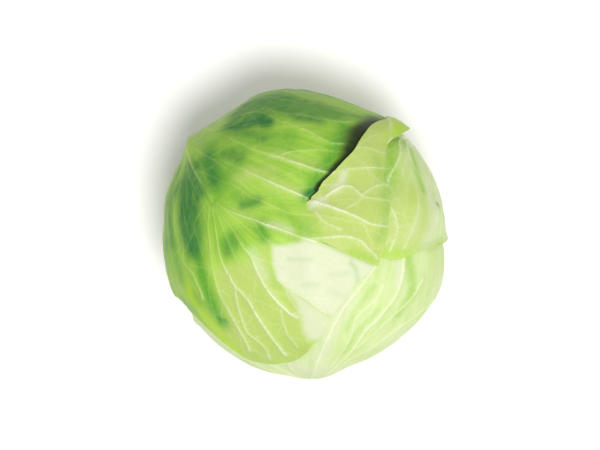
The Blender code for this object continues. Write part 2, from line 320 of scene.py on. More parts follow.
@dataclass(frozen=True)
class Tear:
    """The two rips that free a flap of a leaf, and how the flap stands and hangs over.

    The crack runs from the root to the corner, and the side rip from the root to the margin.
    Everything named ends is a pair between which something eases from nothing to all. Ends along
    are shares of the crack's length, and ends out are shares of the way from the rip to the
    margin. The share, the jags and the shade's width in millimetres are read along the crack. The
    shade is a painted shadow: dark colour laid on the whole leaf beside the crack, where the
    lifted flap shades it.
    """

    side_heading: float = -29.6
    root_heading: float = -50.3
    corner_heading: float = -97.0
    lift: float = 0.0065
    lift_reach: float = 0.028
    opening: float = 0.0006
    overhang: float = 0.0012
    side_lift: float = 0.0018
    side_gap: float = 0.0003
    side_lap: float = 0.0010
    side_reach: float = 0.020
    least_depth: float = 0.1
    least_reach: float = 1.0
    corner_drop: float = 0.75
    ear_heading: float = -90.5
    ear_half_width: float = 11.0
    ear_length: float = 9.0
    ear_lift: float = 0.0030
    ear_sharpness: float = 1.15
    ear_rise: float = 1.5
    drop_ends_along: tuple = (0.55, 1.0)
    hang_ends_along: tuple = (0.3, 0.65)
    tuck: float = 0.9
    tuck_ends_along: tuple = (0.78, 0.98)
    open_ends_along: tuple = (0.0, 0.06)
    side_ends_out: tuple = (0.0, 0.4)
    gap_ends_out: tuple = (0.0, 0.1)
    gap_lost_ends_out: tuple = (0.0, 0.35)
    lap_ends_out: tuple = (0.25, 0.55)
    pallor: float = 0.85
    pallor_ends_reach: tuple = (30.0, 56.0)
    pallor_ends_left: tuple = (-58.0, -44.0)
    pallor_ends_right: tuple = (78.0, 44.0)
    flap_pallor_ends_mm: tuple = (-3.6, 5.4)
    flap_pallor_ends_along: tuple = (0.0, 0.15)
    shade_ends_along: tuple = (-0.01, 0.04)
    shade_lost_ends_along: tuple = (1.1, 0.88)
    shade_power: float = 5.0
    share: tuple = ((-180, 0.50), (-150, 0.52), (-125, 0.62), (-110, 0.84), (-97, 0.985),
                    (-89.7, 0.885), (-75.4, 0.79), (-67.7, 0.70), (-56, 0.585), (-50.3, 0.54),
                    (-40, 0.59), (-29.6, 0.65), (-10, 0.57), (20, 0.50), (90, 0.50))
    jags: tuple = ((0.0, 0.0), (0.05, 0.010), (0.09, -0.004), (0.16, 0.006), (0.2, -0.003),
                   (0.27, -0.008), (0.33, 0.004), (0.38, 0.014), (0.46, 0.013), (0.55, 0.017),
                   (0.63, 0.006), (0.71, 0.005), (0.8, -0.004), (0.9, 0.003), (1.0, 0.0))
    shade_width: tuple = ((0.0, 0.5), (0.12, 1.2), (0.25, 3.0), (0.37, 4.0), (0.42, 5.5),
                          (0.54, 8.0), (0.72, 13.0), (0.84, 18.0), (0.93, 19.5), (1.0, 17.0))

    def along(self, heading: Array) -> Array:
        """Give the share of the crack at a heading: 0 at its root and 1 at the flap's corner."""
        return (self.root_heading - heading) / (self.root_heading - self.corner_heading)


@dataclass(frozen=True)
class LeafPlan:
    """Where one wrapper leaf lies, how far it reaches, and what runs over it.

    The stalk and the fan point are each an azimuth and a polar angle, and the outline is the
    margin's reach at rising headings. The rays place the mesh's rays by number and heading, with
    the most where the leaf shows. The last fields are as in the solids.
    """

    node: str
    slot: str
    stalk: tuple[float, float]
    fan: tuple[float, float]
    outline: tuple
    rib_height: float
    wave_start: float
    seed: int
    flare: float = 0.0003
    rib_bend: float = 0.0
    rays: tuple = ((0, -180.0), (40, -162.0), (440, 162.0), (480, 180.0))
    rings: int = 120
    tear: Tear | None = None
    back_depth: float = 0.0
    courses: tuple = ()
    fan_headings: tuple = ()
    marks: dict[MarkKind, tuple[Mark, ...]] = field(default_factory=dict)
    margin_swing: float = 0.9
    broad_waves: float = 7.0
    broad_share: float = 0.6
    fine_waves: float = 12.0
    bend_power: float = 2.5
    rib_growth_angle: float = 26.0
    rib_growth_power: float = 1.5
    rib_half_width: float = 0.0070
    rib_sharpness: float = 1.3

    def axes(self) -> tuple[Array, Array, Array]:
        """Give the axes at the fan point.

        Returns:
            The unit directions across, away from the stalk, and outwards.
        """
        out = direction(*self.fan)
        stalk = direction(*self.stalk)
        away = unit(out * np.dot(out, stalk) - stalk)
        across = np.cross(away, out)
        turn = math.radians(self.rib_bend)
        bent = away * math.cos(turn) + across * math.sin(turn)
        return np.cross(bent, out), bent, out

    def from_fan(self, reach: Array, heading: Array) -> Array:
        """Give the directions of places on the leaf.

        Args:
            reach: The angle of each place from the fan point.
            heading: Its heading.

        Returns:
            The unit directions.
        """
        across, away, out = self.axes()
        r = np.radians(reach)[..., None]
        h = np.radians(heading)[..., None]
        return out * np.cos(r) + (away * np.cos(h) + across * np.sin(h)) * np.sin(r)

    def to_fan(self, ways: Array) -> tuple[Array, Array]:
        """Give the reach and the heading of each direction from the fan point."""
        across, away, out = self.axes()
        return angle_to(ways, out), np.degrees(np.arctan2(ways @ across, ways @ away))

    def margin_wave(self, heading: Array) -> Array:
        """Give the margin's slow wave, which is lost towards the stalk.

        Args:
            heading: The headings to read at.

        Returns:
            The wave there, from -1 to 1.
        """
        turn = np.radians(heading)
        broad = np.sin(self.broad_waves * turn + self.wave_start)
        fine = np.sin(self.fine_waves * turn - self.wave_start)
        wave = self.broad_share * broad + (1.0 - self.broad_share) * fine
        return wave * (1.0 - towards_stalk(heading))

    def margin_reach(self, heading: Array) -> Array:
        """Give the reach of the margin at a heading."""
        return smooth_loop(self.outline, heading) + self.margin_swing * self.margin_wave(heading)

    def tear_share(self, heading: Array) -> Array:
        """Give the share of the margin's reach at which the tear runs, jagged along the crack."""
        jagged = np.interp(self.tear.along(heading), *np.array(self.tear.jags).T)
        return smooth_loop(self.tear.share, heading) + jagged

    def turned(self, reach: Array, heading: Array) -> Array:
        """Give the headings after the midrib's bend, which grows towards the stalk."""
        at_stalk = (reach / self.outline[0][1]) ** self.bend_power
        return heading - self.rib_bend * towards_stalk(heading) * at_stalk

    def rib_size(self, reach: Array, heading: Array) -> tuple[Array, Array]:
        """Measure the midrib.

        Args:
            reach: The reach of each place.
            heading: Its heading.

        Returns:
            The midrib's full height at the reach, and the distance across from its middle.
        """
        young = np.exp(-(reach / self.rib_growth_angle) ** self.rib_growth_power)
        grown = self.rib_height * (1.0 - young)
        off_rib = np.radians((heading % FULL_TURN) - HALF_TURN)
        behind = np.cos(off_rib) > 0.0
        aside = np.where(behind, np.abs(np.sin(off_rib)), 1.0) * np.sin(np.radians(reach))
        return grown, aside * HEAD.heart_size

    def rib_relief(self, reach: Array, heading: Array) -> Array:
        """Give the height of the midrib above the leaf: a roof with hollow sides."""
        grown, aside = self.rib_size(reach, heading)
        return grown * np.exp(-(aside / self.rib_half_width) ** self.rib_sharpness)


def towards_stalk(heading: Array) -> Array:
    """Give how far a heading points to the stalk: 1 at the stalk, nearly 0 in front."""
    return ((1.0 - np.cos(np.radians(heading))) / 2.0) ** 2


@dataclass
class Vein:
    """One grown vein: unit directions along it, and its strength at each."""

    ways: Array
    strength: Array


@dataclass(frozen=True)
class BranchOrder:
    """One order of branches.

    The spacing along a parent, the angle at which a branch leaves and its bend away from the fan
    point at each step are in degrees. The strength is that at its start.
    """

    spacing: float
    angle: float
    steps: int
    strength: float
    bend: float


@dataclass
class Venation:
    """All veins of one leaf: those laid out in its plan, and seeded branches between them.

    A branch leaves its parent at an angle, bends away from the fan point as it grows, and ends
    where it meets another vein or the margin, so that the veins close into a net. Steps and gaps
    along a vein are in degrees, half widths and the swell's width in millimetres, and the limit
    is how many half widths from a vein its line is still known.
    """

    plan: LeafPlan
    step: float = 1.1
    fewest: int = 3
    join: float = 0.62
    tallest: float = 0.00034
    narrowest: float = 0.42
    widest: float = 1.0
    swell: float = 0.00050
    swell_width: float = 2.6
    radius_mm: float = 86.0
    swell_ends: tuple = (0.3, 0.8)
    limit: float = 6.0
    stretch: int = 8
    rib_points: int = 9
    rib_short_of_ends: tuple = (4.0, 2.0)
    rib_strengths: tuple = (1.0, 0.8)
    fan_points: int = 6
    fan_short_of_ends: tuple = (3.0, 2.0)
    fan_sway: float = 2.2
    fan_gathering: float = 0.82
    fan_strengths: tuple = (0.85, 0.4)
    first_place: tuple = (0.3, 0.8)
    place_scatter: float = 0.14
    angle_scatter: float = 6.0
    strength_scatter: tuple = (0.75, 1.2)
    most_of_parent: float = 0.85
    lean_kept: float = 0.75
    lean_scatter: float = 1.4
    margin_gap: float = 0.5
    free_steps: int = 3
    end_share: float = 0.5
    rib_branches: BranchOrder = BranchOrder(9.0, 38.0, 70, 0.5, 0.35)
    cross_branches: BranchOrder = BranchOrder(7.0, 42.0, 22, 0.24, 1.2)
    net_branches: BranchOrder = BranchOrder(3.8, 55.0, 9, 0.10, 0.6)
    veins: list[Vein] = field(default_factory=list)

    def __post_init__(self) -> None:
        """Lay the main veins out, then grow three orders of branches."""
        self.rng = np.random.default_rng(self.plan.seed)
        for course in self.plan.courses:
            self.veins.append(self.lay(course))
        for heading in self.plan.fan_headings:
            self.veins.append(self.lay(self.fan_course(heading)))
        rib = self.lay(self.rib_course())
        self.branch([rib], self.rib_branches)
        self.veins.append(rib)
        self.branch(list(self.veins), self.cross_branches)
        self.branch(list(self.veins), self.net_branches)

    def lay(self, course: Course) -> Vein:
        """Run a vein smoothly through its points.

        Args:
            course: The points and the strength at both ends.

        Returns:
            The vein, in places about a step apart, its strength changing evenly.
        """
        reach, heading = np.array(course.points, dtype=float).T
        ways = self.plan.from_fan(reach, heading)
        gone = np.concatenate(([0.0], np.cumsum(np.linalg.norm(np.diff(ways, axis=0), axis=1))))
        count = max(self.fewest, int(math.degrees(gone[-1]) / self.step))
        run = smooth_curve(gone, ways, np.linspace(0.0, gone[-1], count))
        return Vein(unit(run), np.linspace(course.start, course.end, count))

    def rib_course(self) -> Course:
        """Give the line along the crest of the midrib.

        Returns:
            The course from the stalk to the fan point.
        """
        at_stalk, at_fan = self.rib_short_of_ends
        reach = np.linspace(self.plan.outline[0][1] - at_stalk, at_fan, self.rib_points)
        heading = self.plan.turned(reach, np.full(self.rib_points, HALF_TURN))
        return Course(tuple(zip(reach, heading)), *self.rib_strengths)

    def fan_course(self, heading: float) -> Course:
        """Give a main vein from the fan point to the margin that sways a little.

        Args:
            heading: Its heading at the margin.

        Returns:
            The course.
        """
        at_fan, at_margin = self.fan_short_of_ends
        far = float(self.plan.margin_reach(np.array(heading))) - at_margin
        reach = np.linspace(at_fan, far, self.fan_points)
        sway = self.rng.normal(0.0, self.fan_sway, self.fan_points)
        sway = sway + heading * np.linspace(self.fan_gathering, 1.0, self.fan_points)
        return Course(tuple(zip(reach, sway)), *self.fan_strengths)

    def sprout(self, parents: list[Vein], order: BranchOrder) -> tuple[Array, ...]:
        """Start the branches of one order along every parent, left and right in turn.

        Args:
            parents: The veins that they leave.
            order: How they leave.

        Returns:
            The start, the forward direction, the parent's place and the strength of each.
        """
        tips, heads, owner, power = [], [], [], []
        stride = order.spacing / self.step
        for index, vein in enumerate(parents):
            last = len(vein.ways) - 2
            along = np.arange(stride * self.rng.uniform(*self.first_place), last, stride)
            scatter = self.rng.normal(0, self.place_scatter * stride, len(along))
            spots = np.clip((along + scatter).astype(int), 1, last)
            forward = unit(vein.ways[spots + 1] - vein.ways[spots - 1])
            side = np.where((np.arange(len(spots)) + self.rng.integers(2)) % 2 == 0, 1.0, -1.0)
            angle = order.angle + self.rng.normal(0.0, self.angle_scatter, len(spots))
            tips.append(vein.ways[spots])
            heads.append(rotated(forward, vein.ways[spots], side * np.radians(angle)))
            owner.append(np.full(len(spots), index))
            full = order.strength * self.rng.uniform(*self.strength_scatter, len(spots))
            power.append(np.minimum(full, self.most_of_parent * vein.strength[spots]))
        return tuple(np.concatenate(column) for column in (tips, heads, owner, power))

    def branch(self, parents: list[Vein], order: BranchOrder) -> None:
        """Grow the branches of one order from all parents at once.

        Args:
            parents: The veins that they leave.
            order: How they leave and grow.
        """
        tip, head, owner, power = self.sprout(parents, order)
        count = len(tip)
        taken = np.concatenate([vein.ways for vein in self.veins + parents])
        taken_by = np.concatenate([np.full(len(vein.ways), self.place_of(vein, parents))
                                   for vein in self.veins + parents])
        paths, ended = [tip], np.full(count, order.steps + 1)
        growing = np.ones(count, dtype=bool)
        lean = self.rng.normal(0.0, 1.0, count)
        stride = math.radians(self.step)
        for step in range(1, order.steps + 1):
            lean = self.lean_kept * lean + self.rng.normal(0.0, self.lean_scatter, count)
            outward = unit(tip - self.plan.axes()[2])
            veer = np.sign((np.cross(head, outward) * tip).sum(axis=1)) * order.bend + lean
            head = rotated(head, tip, np.radians(veer))
            ahead = tip * math.cos(stride) + head * math.sin(stride)
            head = unit(head * math.cos(stride) - tip * math.sin(stride))
            reach, heading = self.plan.to_fan(ahead)
            outside = reach > self.plan.margin_reach(heading) - self.margin_gap
            closeness = ahead @ taken.T
            if step <= self.free_steps:
                closeness[owner[:, None] == taken_by[None, :]] = -1.0
            nearest = closeness.argmax(axis=1)
            met = closeness[np.arange(count), nearest] > math.cos(math.radians(self.join))
            tip = np.where(met[:, None], taken[nearest], ahead)
            ending = growing & (outside | met)
            ended[ending] = step + 1
            growing &= ~ending
            paths.append(tip)
            taken = np.concatenate((taken, tip[growing]))
            taken_by = np.concatenate((taken_by, np.full(int(growing.sum()), -1)))
            if not growing.any():
                break
        paths = np.stack(paths, axis=1)
        for index in range(count):
            run = paths[index, :ended[index]]
            if len(run) >= self.fewest:
                fading = np.linspace(power[index], self.end_share * power[index], len(run))
                self.veins.append(Vein(run, fading))

    @staticmethod
    def place_of(vein: Vein, parents: list[Vein]) -> int:
        """Give a vein's place among the parents, or -1."""
        return next((i for i, parent in enumerate(parents) if parent is vein), -1)

    def trace(self, ways: Array) -> tuple[Array, Array]:
        """Read the veins at directions on the leaf.

        The relief of a vein is its height times the bell exp(-q squared), where q is the distance
        from its middle line over its half width, and a strong vein lies on a broad low swell. The
        tallest vein at a place counts.

        Args:
            ways: Unit directions, not shifted by a tear.

        Returns:
            The relief in metres, and for each direction the signed q, the plain q and the
            strength of the vein that is nearest in q.
        """
        relief = np.zeros(len(ways))
        line = np.tile((self.limit, self.limit, 0.0), (len(ways), 1))
        for vein in self.veins:
            for start in range(0, len(vein.ways) - 1, self.stretch):
                part = slice(start, start + self.stretch + 1)
                self.trace_stretch(ways, vein.ways[part], vein.strength[part], relief, line)
        return relief, line

    def trace_stretch(self, ways: Array, run: Array, strength: Array, relief: Array,
                      line: Array) -> None:
        """Write one short stretch of a vein into relief and line, near it only.

        Args:
            ways: Unit directions on the leaf.
            run: The directions along the stretch.
            strength: The vein's strength at each of them.
            relief: The relief so far, written to.
            line: Signed q, plain q and strength so far, written to.
        """
        middle = unit(run.mean(axis=0))
        spread = float(np.degrees(np.arccos(np.clip(run @ middle, -1.0, 1.0))).max())
        span = self.limit * self.widest / self.radius_mm
        near = np.flatnonzero(ways @ middle > math.cos(math.radians(spread) + span))
        if len(near) == 0:
            return
        place = ways[near]
        _, t, gap = to_stretches(place, run[:-1], run[1:] - run[:-1])
        part = gap.argmin(axis=1)
        row = np.arange(len(near))
        t = t[row, part]
        power = strength[part] * (1.0 - t) + strength[part + 1] * t
        half_width = self.narrowest + (self.widest - self.narrowest) * power
        apart = np.sqrt(gap[row, part]) * self.radius_mm
        q = apart / half_width
        side = np.sign((np.cross(run[:-1], run[1:])[part] * place).sum(axis=1))
        broad = self.swell * ease(power, self.swell_ends)
        broad = broad * np.exp(-(apart / self.swell_width) ** 2)
        relief[near] = np.maximum(relief[near], self.tallest * power * np.exp(-q ** 2) + broad)
        closer = q < line[near, 1]
        line[near[closer]] = np.stack((q * side, q, power), axis=1)[closer]


def rotated(vectors: Array, axes: Array, angle: Array) -> Array:
    """Turn vectors about unit axes that they stand square to, by angles in radians."""
    return (vectors * np.cos(angle)[:, None]
            + np.cross(axes, vectors) * np.sin(angle)[:, None])


@dataclass
class Blade:
    """The closed mesh of a leaf: a fine outer face, a coarse inner face, and a rim between.

    The outer face has a vertex at every ray and ring of the plan, and the inner face at every
    few of them. A torn leaf has a second sheet for the flap, from the ring at the tear outwards.
    """

    plan: LeafPlan
    coarse: int = 4

    def __post_init__(self) -> None:
        """Read the places of the tear on the grid."""
        self.count = self.plan.rays[-1][0]
        self.tear_ring = self.plan.rings // 2
        marks = {heading: mark for mark, heading in self.plan.rays}
        if self.plan.tear:
            self.corner = marks[self.plan.tear.corner_heading]
            self.root = marks[self.plan.tear.root_heading]
            self.side = marks[self.plan.tear.side_heading]

    def places(self, step: int) -> tuple[Array, Array, Array]:
        """Give the places of a face's vertices.

        Args:
            step: How many rays and rings lie between vertices.

        Returns:
            The ray, the ring and the sheet (0 whole, 1 flap) of every vertex.
        """
        rays, rings = np.meshgrid(np.arange(0, self.count, step),
                                  np.arange(step, self.plan.rings + 1, step), indexing="ij")
        ray, ring = [np.zeros(1, int), rays.T.ravel()], [np.zeros(1, int), rings.T.ravel()]
        sheet = [np.zeros(1 + rays.size, int)]
        if self.plan.tear:
            rays, rings = np.meshgrid(np.arange(self.corner, self.side + 1, step),
                                      np.arange(self.tear_ring, self.plan.rings + 1, step),
                                      indexing="ij")
            ray.append(rays.T.ravel())
            ring.append(rings.T.ravel())
            sheet.append(np.ones(rays.size, int))
        return np.concatenate(ray), np.concatenate(ring), np.concatenate(sheet)

    def index(self, ray: Array, ring: Array, flap: Array, step: int) -> Array:
        """Find vertices; the flap shares those at its root with the whole leaf.

        Args:
            ray: The ray of each vertex.
            ring: Its ring.
            flap: Whether it belongs to the flap.
            step: How many rays and rings lie between vertices of the face.

        Returns:
            The place of each vertex among those of the face.
        """
        across = self.count // step
        whole = np.where(ring == 0, 0, 1 + (ring // step - 1) * across + (ray // step) % across)
        if not self.plan.tear:
            return whole
        first = 1 + across * (self.plan.rings // step)
        width = (self.side - self.corner) // step + 1
        own = first + (ring - self.tear_ring) // step * width + (ray - self.corner) // step
        shared = (ring == self.tear_ring) & (ray >= self.root)
        return np.where(flap & ~shared, own, whole)

    def cells(self, step: int) -> tuple[Array, Array]:
        """Give the cells of a face, facing outwards.

        Args:
            step: How many rays and rings lie between its vertices.

        Returns:
            The four-sided cells, and the triangles round the fan point.
        """
        ray, ring = np.meshgrid(np.arange(0, self.count, step),
                                np.arange(step, self.plan.rings, step), indexing="ij")
        ray, ring = ray.ravel(), ring.ravel()
        flap = np.zeros(ray.shape, bool)
        if self.plan.tear:
            flap = (ray >= self.corner) & (ray < self.side) & (ring >= self.tear_ring)
        quads = np.stack([self.index(ray + a * step, ring + b * step, flap, step)
                          for a, b in ((0, 0), (1, 0), (1, 1), (0, 1))], axis=1)
        first = np.arange(0, self.count, step)
        one = np.full(first.shape, step)
        no = np.zeros(first.shape, bool)
        middle = np.stack((np.zeros_like(first), self.index(first + step, one, no, step),
                           self.index(first, one, no, step)), axis=1)
        return quads, middle

    def rim(self, quads: Array, offset: int) -> tuple[Array, Array]:
        """Join the open edges of the outer face to the nearest vertices of the inner one.

        Args:
            quads: The four-sided cells of the outer face.
            offset: The number of the inner face's first vertex.

        Returns:
            The four-sided cells and the triangles of the rim.
        """
        loops = np.concatenate([quads[:, (i, (i + 1) % 4)] for i in range(4)])
        ray, ring, sheet = self.places(1)
        top = len(ray) + 1
        code = loops[:, 0] * top + loops[:, 1]
        back = loops[:, 1] * top + loops[:, 0]
        centre = ring[loops].max(axis=1) == 1
        start, end = loops[~np.isin(code, back) & ~centre].T
        half = self.coarse // 2
        near_ray = (ray + half) // self.coarse * self.coarse
        near_ring = (ring + half) // self.coarse * self.coarse
        inner = offset + self.index(near_ray, near_ring, sheet == 1, self.coarse)
        inner_start, inner_end = inner[start], inner[end]
        same = inner_start == inner_end
        quads = np.stack((end, start, inner_start, inner_end), axis=1)[~same]
        return quads, np.stack((end, start, inner_start), axis=1)[same]


@dataclass
class WrapperLeaf:
    """One wrapper leaf of the head, laid over the heart and the leaves before it.

    The droop's reach, the span of the edge and the ease of the relief are millimetres from the
    margin. A ragged wave is its count round the fan point, how it follows the plan's wave start,
    and its share. The back of the leaf lies between the pairs named back.
    """

    plan: LeafPlan
    below: tuple[LeafPlan, ...]
    thickness: float = 0.0010
    margin_thickness: float = 0.0006
    droop: float = 0.0008
    droop_reach: float = 15.0
    pucker: float = 0.00020
    pucker_wave: float = 17.0
    pucker_count: int = 18
    ragged: float = 0.16
    ragged_power: float = 6.0
    ragged_waves: tuple = ((23.0, 1.0, 1.0), (41.0, -1.0, 1.0), (67.0, 0.0, 0.7))
    flare_start: float = 0.78
    relief_ease: float = 5.0
    edge_span: float = 20.0
    knee_reach: float = 34.0
    back_reach: tuple = (36.0, 70.0)
    back_heading: tuple = (92.0, 142.0)

    def layout(self, ray: Array, ring: Array, sheet: Array) -> dict[str, Array]:
        """Work out where vertices lie on the leaf before anything is lifted.

        Args:
            ray: The ray of each vertex, a place round the fan point.
            ring: The ring of each vertex, from 0 at the fan point to the last at the margin.
            sheet: 1 for vertices of the torn flap.

        Returns:
            The heading, reach, heading after the midrib's bend, direction, millimetres from the
            margin, share of the margin's reach, and whether on the flap, by name.
        """
        plan = self.plan
        heading = np.interp(ray, *np.array(plan.rays).T)
        share = ring / plan.rings
        if plan.tear:
            half = plan.rings // 2
            bent = plan.tear_share(heading)
            inner = bent * ring / half
            outer = 1.0 - (1.0 - bent) * (plan.rings - ring) / half
            share = np.where(ring <= half, inner, outer)
        full = plan.margin_reach(heading)
        turn = np.radians(heading)
        ragged = sum(weight * np.sin(count * turn + shift * plan.wave_start)
                     for count, shift, weight in self.ragged_waves)
        ragged = self.ragged * ragged * (1.0 - towards_stalk(heading))
        reach = (full + ragged * share ** self.ragged_power) * share
        turned = plan.turned(reach, heading)
        ways = HEAD.clear_stem(plan.from_fan(reach, turned))
        inside = np.radians(full * (1.0 - share)) * HEAD.heart_size / MM
        return {"heading": heading, "reach": reach, "turned": turned, "ways": ways,
                "inside": inside, "share": share, "flap": sheet == 1}

    def base_radius(self, at: dict[str, Array]) -> Array:
        """Give the leaf's outer radius without midrib and veins.

        It is the skin over what lies below, less a droop at the margin, plus the margin's flare
        and a slight seeded pucker.

        Args:
            at: The layout of the vertices.

        Returns:
            The radius at each.
        """
        near = ease(at["share"], (self.flare_start, 1.0))
        flare = self.plan.flare * near * (1.0 - self.plan.margin_wave(at["heading"])) / 2.0
        droop = self.droop * ease(at["inside"], (self.droop_reach, 0.0))
        uneven = ripples(at["ways"], self.pucker_wave, self.pucker_count, self.plan.seed)
        uneven = uneven * self.pucker
        return HEAD.skin_radius(at["ways"], self.below) + flare - droop + uneven

    def flap_shift(self, at: dict[str, Array]) -> tuple[Array, Array, Array]:
        """Work out how the torn flap stands.

        It is lifted along the crack, at its side and at its ear, and each fades away from there.
        It is drawn back at the crack's open root, hangs over further on, and laps over the leaf
        beside it.

        Args:
            at: The layout of the vertices.

        Returns:
            The lift of each, and the reach and the heading that it moves to.
        """
        plan, tear = self.plan, self.plan.tear
        heading, reach = at["heading"], at["reach"]
        root = plan.margin_reach(heading) * plan.tear_share(heading)
        past_root = np.radians(reach - root) * HEAD.heart_size
        along = np.clip(tear.along(heading), 0.0, 1.0)
        depth = np.maximum(plan.margin_reach(heading) - root, tear.least_depth)
        outwards = np.clip((reach - root) / depth, 0.0, 1.0)
        fade = np.exp(-past_root / tear.lift_reach)
        from_side = (np.radians(tear.side_heading - heading) * np.sin(np.radians(reach))
                     * HEAD.heart_size)
        side = np.exp(-from_side / tear.side_reach) * ease(outwards, tear.side_ends_out)
        from_ear = np.abs(heading - tear.ear_heading) / tear.ear_half_width
        ear = np.clip(1.0 - from_ear, 0.0, 1.0) ** tear.ear_sharpness * outwards ** tear.ear_rise
        rise = along * (1.0 - tear.corner_drop * ease(along, tear.drop_ends_along))
        lift = tear.lift * rise * fade + tear.side_lift * side + tear.ear_lift * ear
        over = (ease(along, tear.hang_ends_along)
                * (1.0 - tear.tuck * ease(along, tear.tuck_ends_along)))
        opening = tear.opening * ease(along, tear.open_ends_along) * (1.0 - over)
        shift = tear.overhang * over - opening
        moved = reach - np.degrees(shift * fade / HEAD.heart_size) + tear.ear_length * ear
        clear = (tear.side_gap * ease(outwards, tear.gap_ends_out)
                 * (1.0 - ease(outwards, tear.gap_lost_ends_out)))
        lapped = tear.side_lap * ease(outwards, tear.lap_ends_out)
        circle = HEAD.heart_size * np.sin(np.radians(np.maximum(reach, tear.least_reach)))
        gap = np.degrees((clear - lapped) * np.exp(-from_side / tear.side_reach) / circle)
        return lift, moved, at["turned"] - gap

    def face(self, places: tuple[Array, Array, Array],
             venation: Venation | None) -> tuple[Array, dict[str, Array]]:
        """Give the points of one face.

        Args:
            places: The ray, the ring and the sheet of its vertices.
            venation: The leaf's veins for the outer face, or None for the inner face.

        Returns:
            The points, and the layout of the vertices.
        """
        ray, ring, sheet = places
        at = self.layout(ray, ring, sheet)
        radius = self.base_radius(at)
        if venation is None:
            thin = ease(at["inside"], (self.droop_reach, 0.0))
            radius = radius - self.thickness + (self.thickness - self.margin_thickness) * thin
        else:
            relief, at["line"] = venation.trace(at["ways"])
            relief = relief - venation.swell
            fade = ease(at["inside"], (0.0, self.relief_ease))
            radius = radius + relief * fade + self.plan.rib_relief(at["reach"], at["heading"])
        ways = at["ways"]
        if self.plan.tear:
            lift, moved, turned = self.flap_shift(at)
            flap = at["flap"]
            radius = radius + np.where(flap, lift, 0.0)
            ways = np.where(flap[:, None], self.plan.from_fan(moved, turned), ways)
        return HEAD.points(ways, radius), at

    def build(self) -> bpy.types.Object:
        """Build the leaf as one closed mesh with the attributes that its finish reads.

        Returns:
            The piece.
        """
        blade = Blade(self.plan)
        outer_at, inner_at = blade.places(1), blade.places(blade.coarse)
        outer, at = self.face(outer_at, Venation(self.plan))
        inner, _ = self.face(inner_at, None)
        quads, middle = blade.cells(1)
        inner_quads, inner_middle = blade.cells(blade.coarse)
        rim_quads, rim_triangles = blade.rim(quads, len(outer))
        all_quads = np.concatenate((quads, inner_quads[:, ::-1] + len(outer), rim_quads))
        triangles = np.concatenate((middle, inner_middle[:, ::-1] + len(outer), rim_triangles))
        points = np.concatenate((outer, inner))
        shown = self.fields(at)
        inside = np.clip(at["inside"] / self.edge_span, 0.0, 1.0)
        # The edge vector also carries the painted shadow of the crack.
        edge = np.stack((inside, shown[:, MarkKind.PAINTED_SHADOW.value], np.zeros(len(inside))), axis=1)
        _, away, out = self.plan.axes()
        knee = self.plan.from_fan(np.array(self.knee_reach), np.array(HALF_TURN))
        attributes = {"vein_line": at["line"], "leaf_green_shade_sheen": shown[:, :3],
                      "leaf_pale_highlight": shown[:, 3:6], "leaf_edge_shadow": edge,
                      "fan_place": polar_place(at["ways"], out, away),
                      "rib_place": polar_place(at["ways"], knee, out)}
        unseen = {label: np.zeros((len(inner), 3)) for label in attributes}
        unseen["vein_line"] += Venation.limit
        attributes = {label: np.concatenate((values, unseen[label]))
                      for label, values in attributes.items()}
        return mesh_object(self.plan.node + "_blade", points, all_quads, triangles, attributes)

    def fields(self, at: dict[str, Array]) -> Array:
        """Give how much of each tissue shows.

        Args:
            at: The layout of the vertices.

        Returns:
            One row for each vertex and one column for each tissue, from 0 to 1.
        """
        # The columns hold tissue colours and painted light: shade, rim sheen, highlight and the
        # crack's shadow.
        shown = np.zeros((len(at["reach"]), len(MarkKind)))
        for tissue, marks in self.plan.marks.items():
            column = shown[:, tissue.value]
            for mark in marks:
                run = self.plan.from_fan(*np.array(mark.points, dtype=float).T)
                shape = soft_area if mark.area else soft_run
                amount = mark.strength * shape(at["ways"], run, mark.width)
                if mark.sheet is not Sheet.BOTH:
                    amount = np.where(at["flap"] == (mark.sheet is Sheet.FLAP), amount, 0.0)
                np.maximum(column, amount, out=column)
        behind = (ease(at["reach"], self.back_reach)
                  * ease(np.abs(at["heading"]), self.back_heading))
        deep_and_shade = shown[:, MarkKind.DEEP_AND_SHADE.value]
        np.maximum(deep_and_shade, self.plan.back_depth * behind, out=deep_and_shade)
        if self.plan.tear:
            self.tear_fields(at, shown)
        return shown

    def tear_fields(self, at: dict[str, Array], shown: Array) -> None:
        """Add what goes with the tear: the pale flap, and the shade in its crack.

        The pallor also grows with the reach in front of the fan. The shade is a painted shadow,
        where the lifted flap shades the whole leaf; it is widest at the top of the crack and is lost
        away from it.

        Args:
            at: The layout of the vertices.
            shown: How much of each tissue shows so far, written to.
        """
        tear, reach, heading = self.plan.tear, at["reach"], at["heading"]
        along = tear.along(heading)
        root = self.plan.margin_reach(heading) * self.plan.tear_share(heading)
        past = np.radians(reach - root) * HEAD.heart_size / MM
        front = tear.pallor * ease(reach, tear.pallor_ends_reach)
        front = front * ease(heading, tear.pallor_ends_left) * ease(heading, tear.pallor_ends_right)
        on_flap = np.maximum(ease(past, tear.flap_pallor_ends_mm),
                             ease(along, tear.flap_pallor_ends_along))
        pallor = np.where(at["flap"], on_flap, front)
        width = np.interp(along, *np.array(tear.shade_width).T)
        beside = ease(along, tear.shade_ends_along) * ease(along, tear.shade_lost_ends_along)
        # Painted shadow: the whole leaf is darkened beside the crack, under the lifted flap.
        shade = beside * np.exp(-np.abs(past / width) ** tear.shade_power)
        shade = np.where(at["flap"], 0.0, shade)
        for tissue, amount in ((MarkKind.PALLID, pallor), (MarkKind.PAINTED_SHADOW, shade)):
            shown[:, tissue.value] = np.maximum(shown[:, tissue.value], amount)


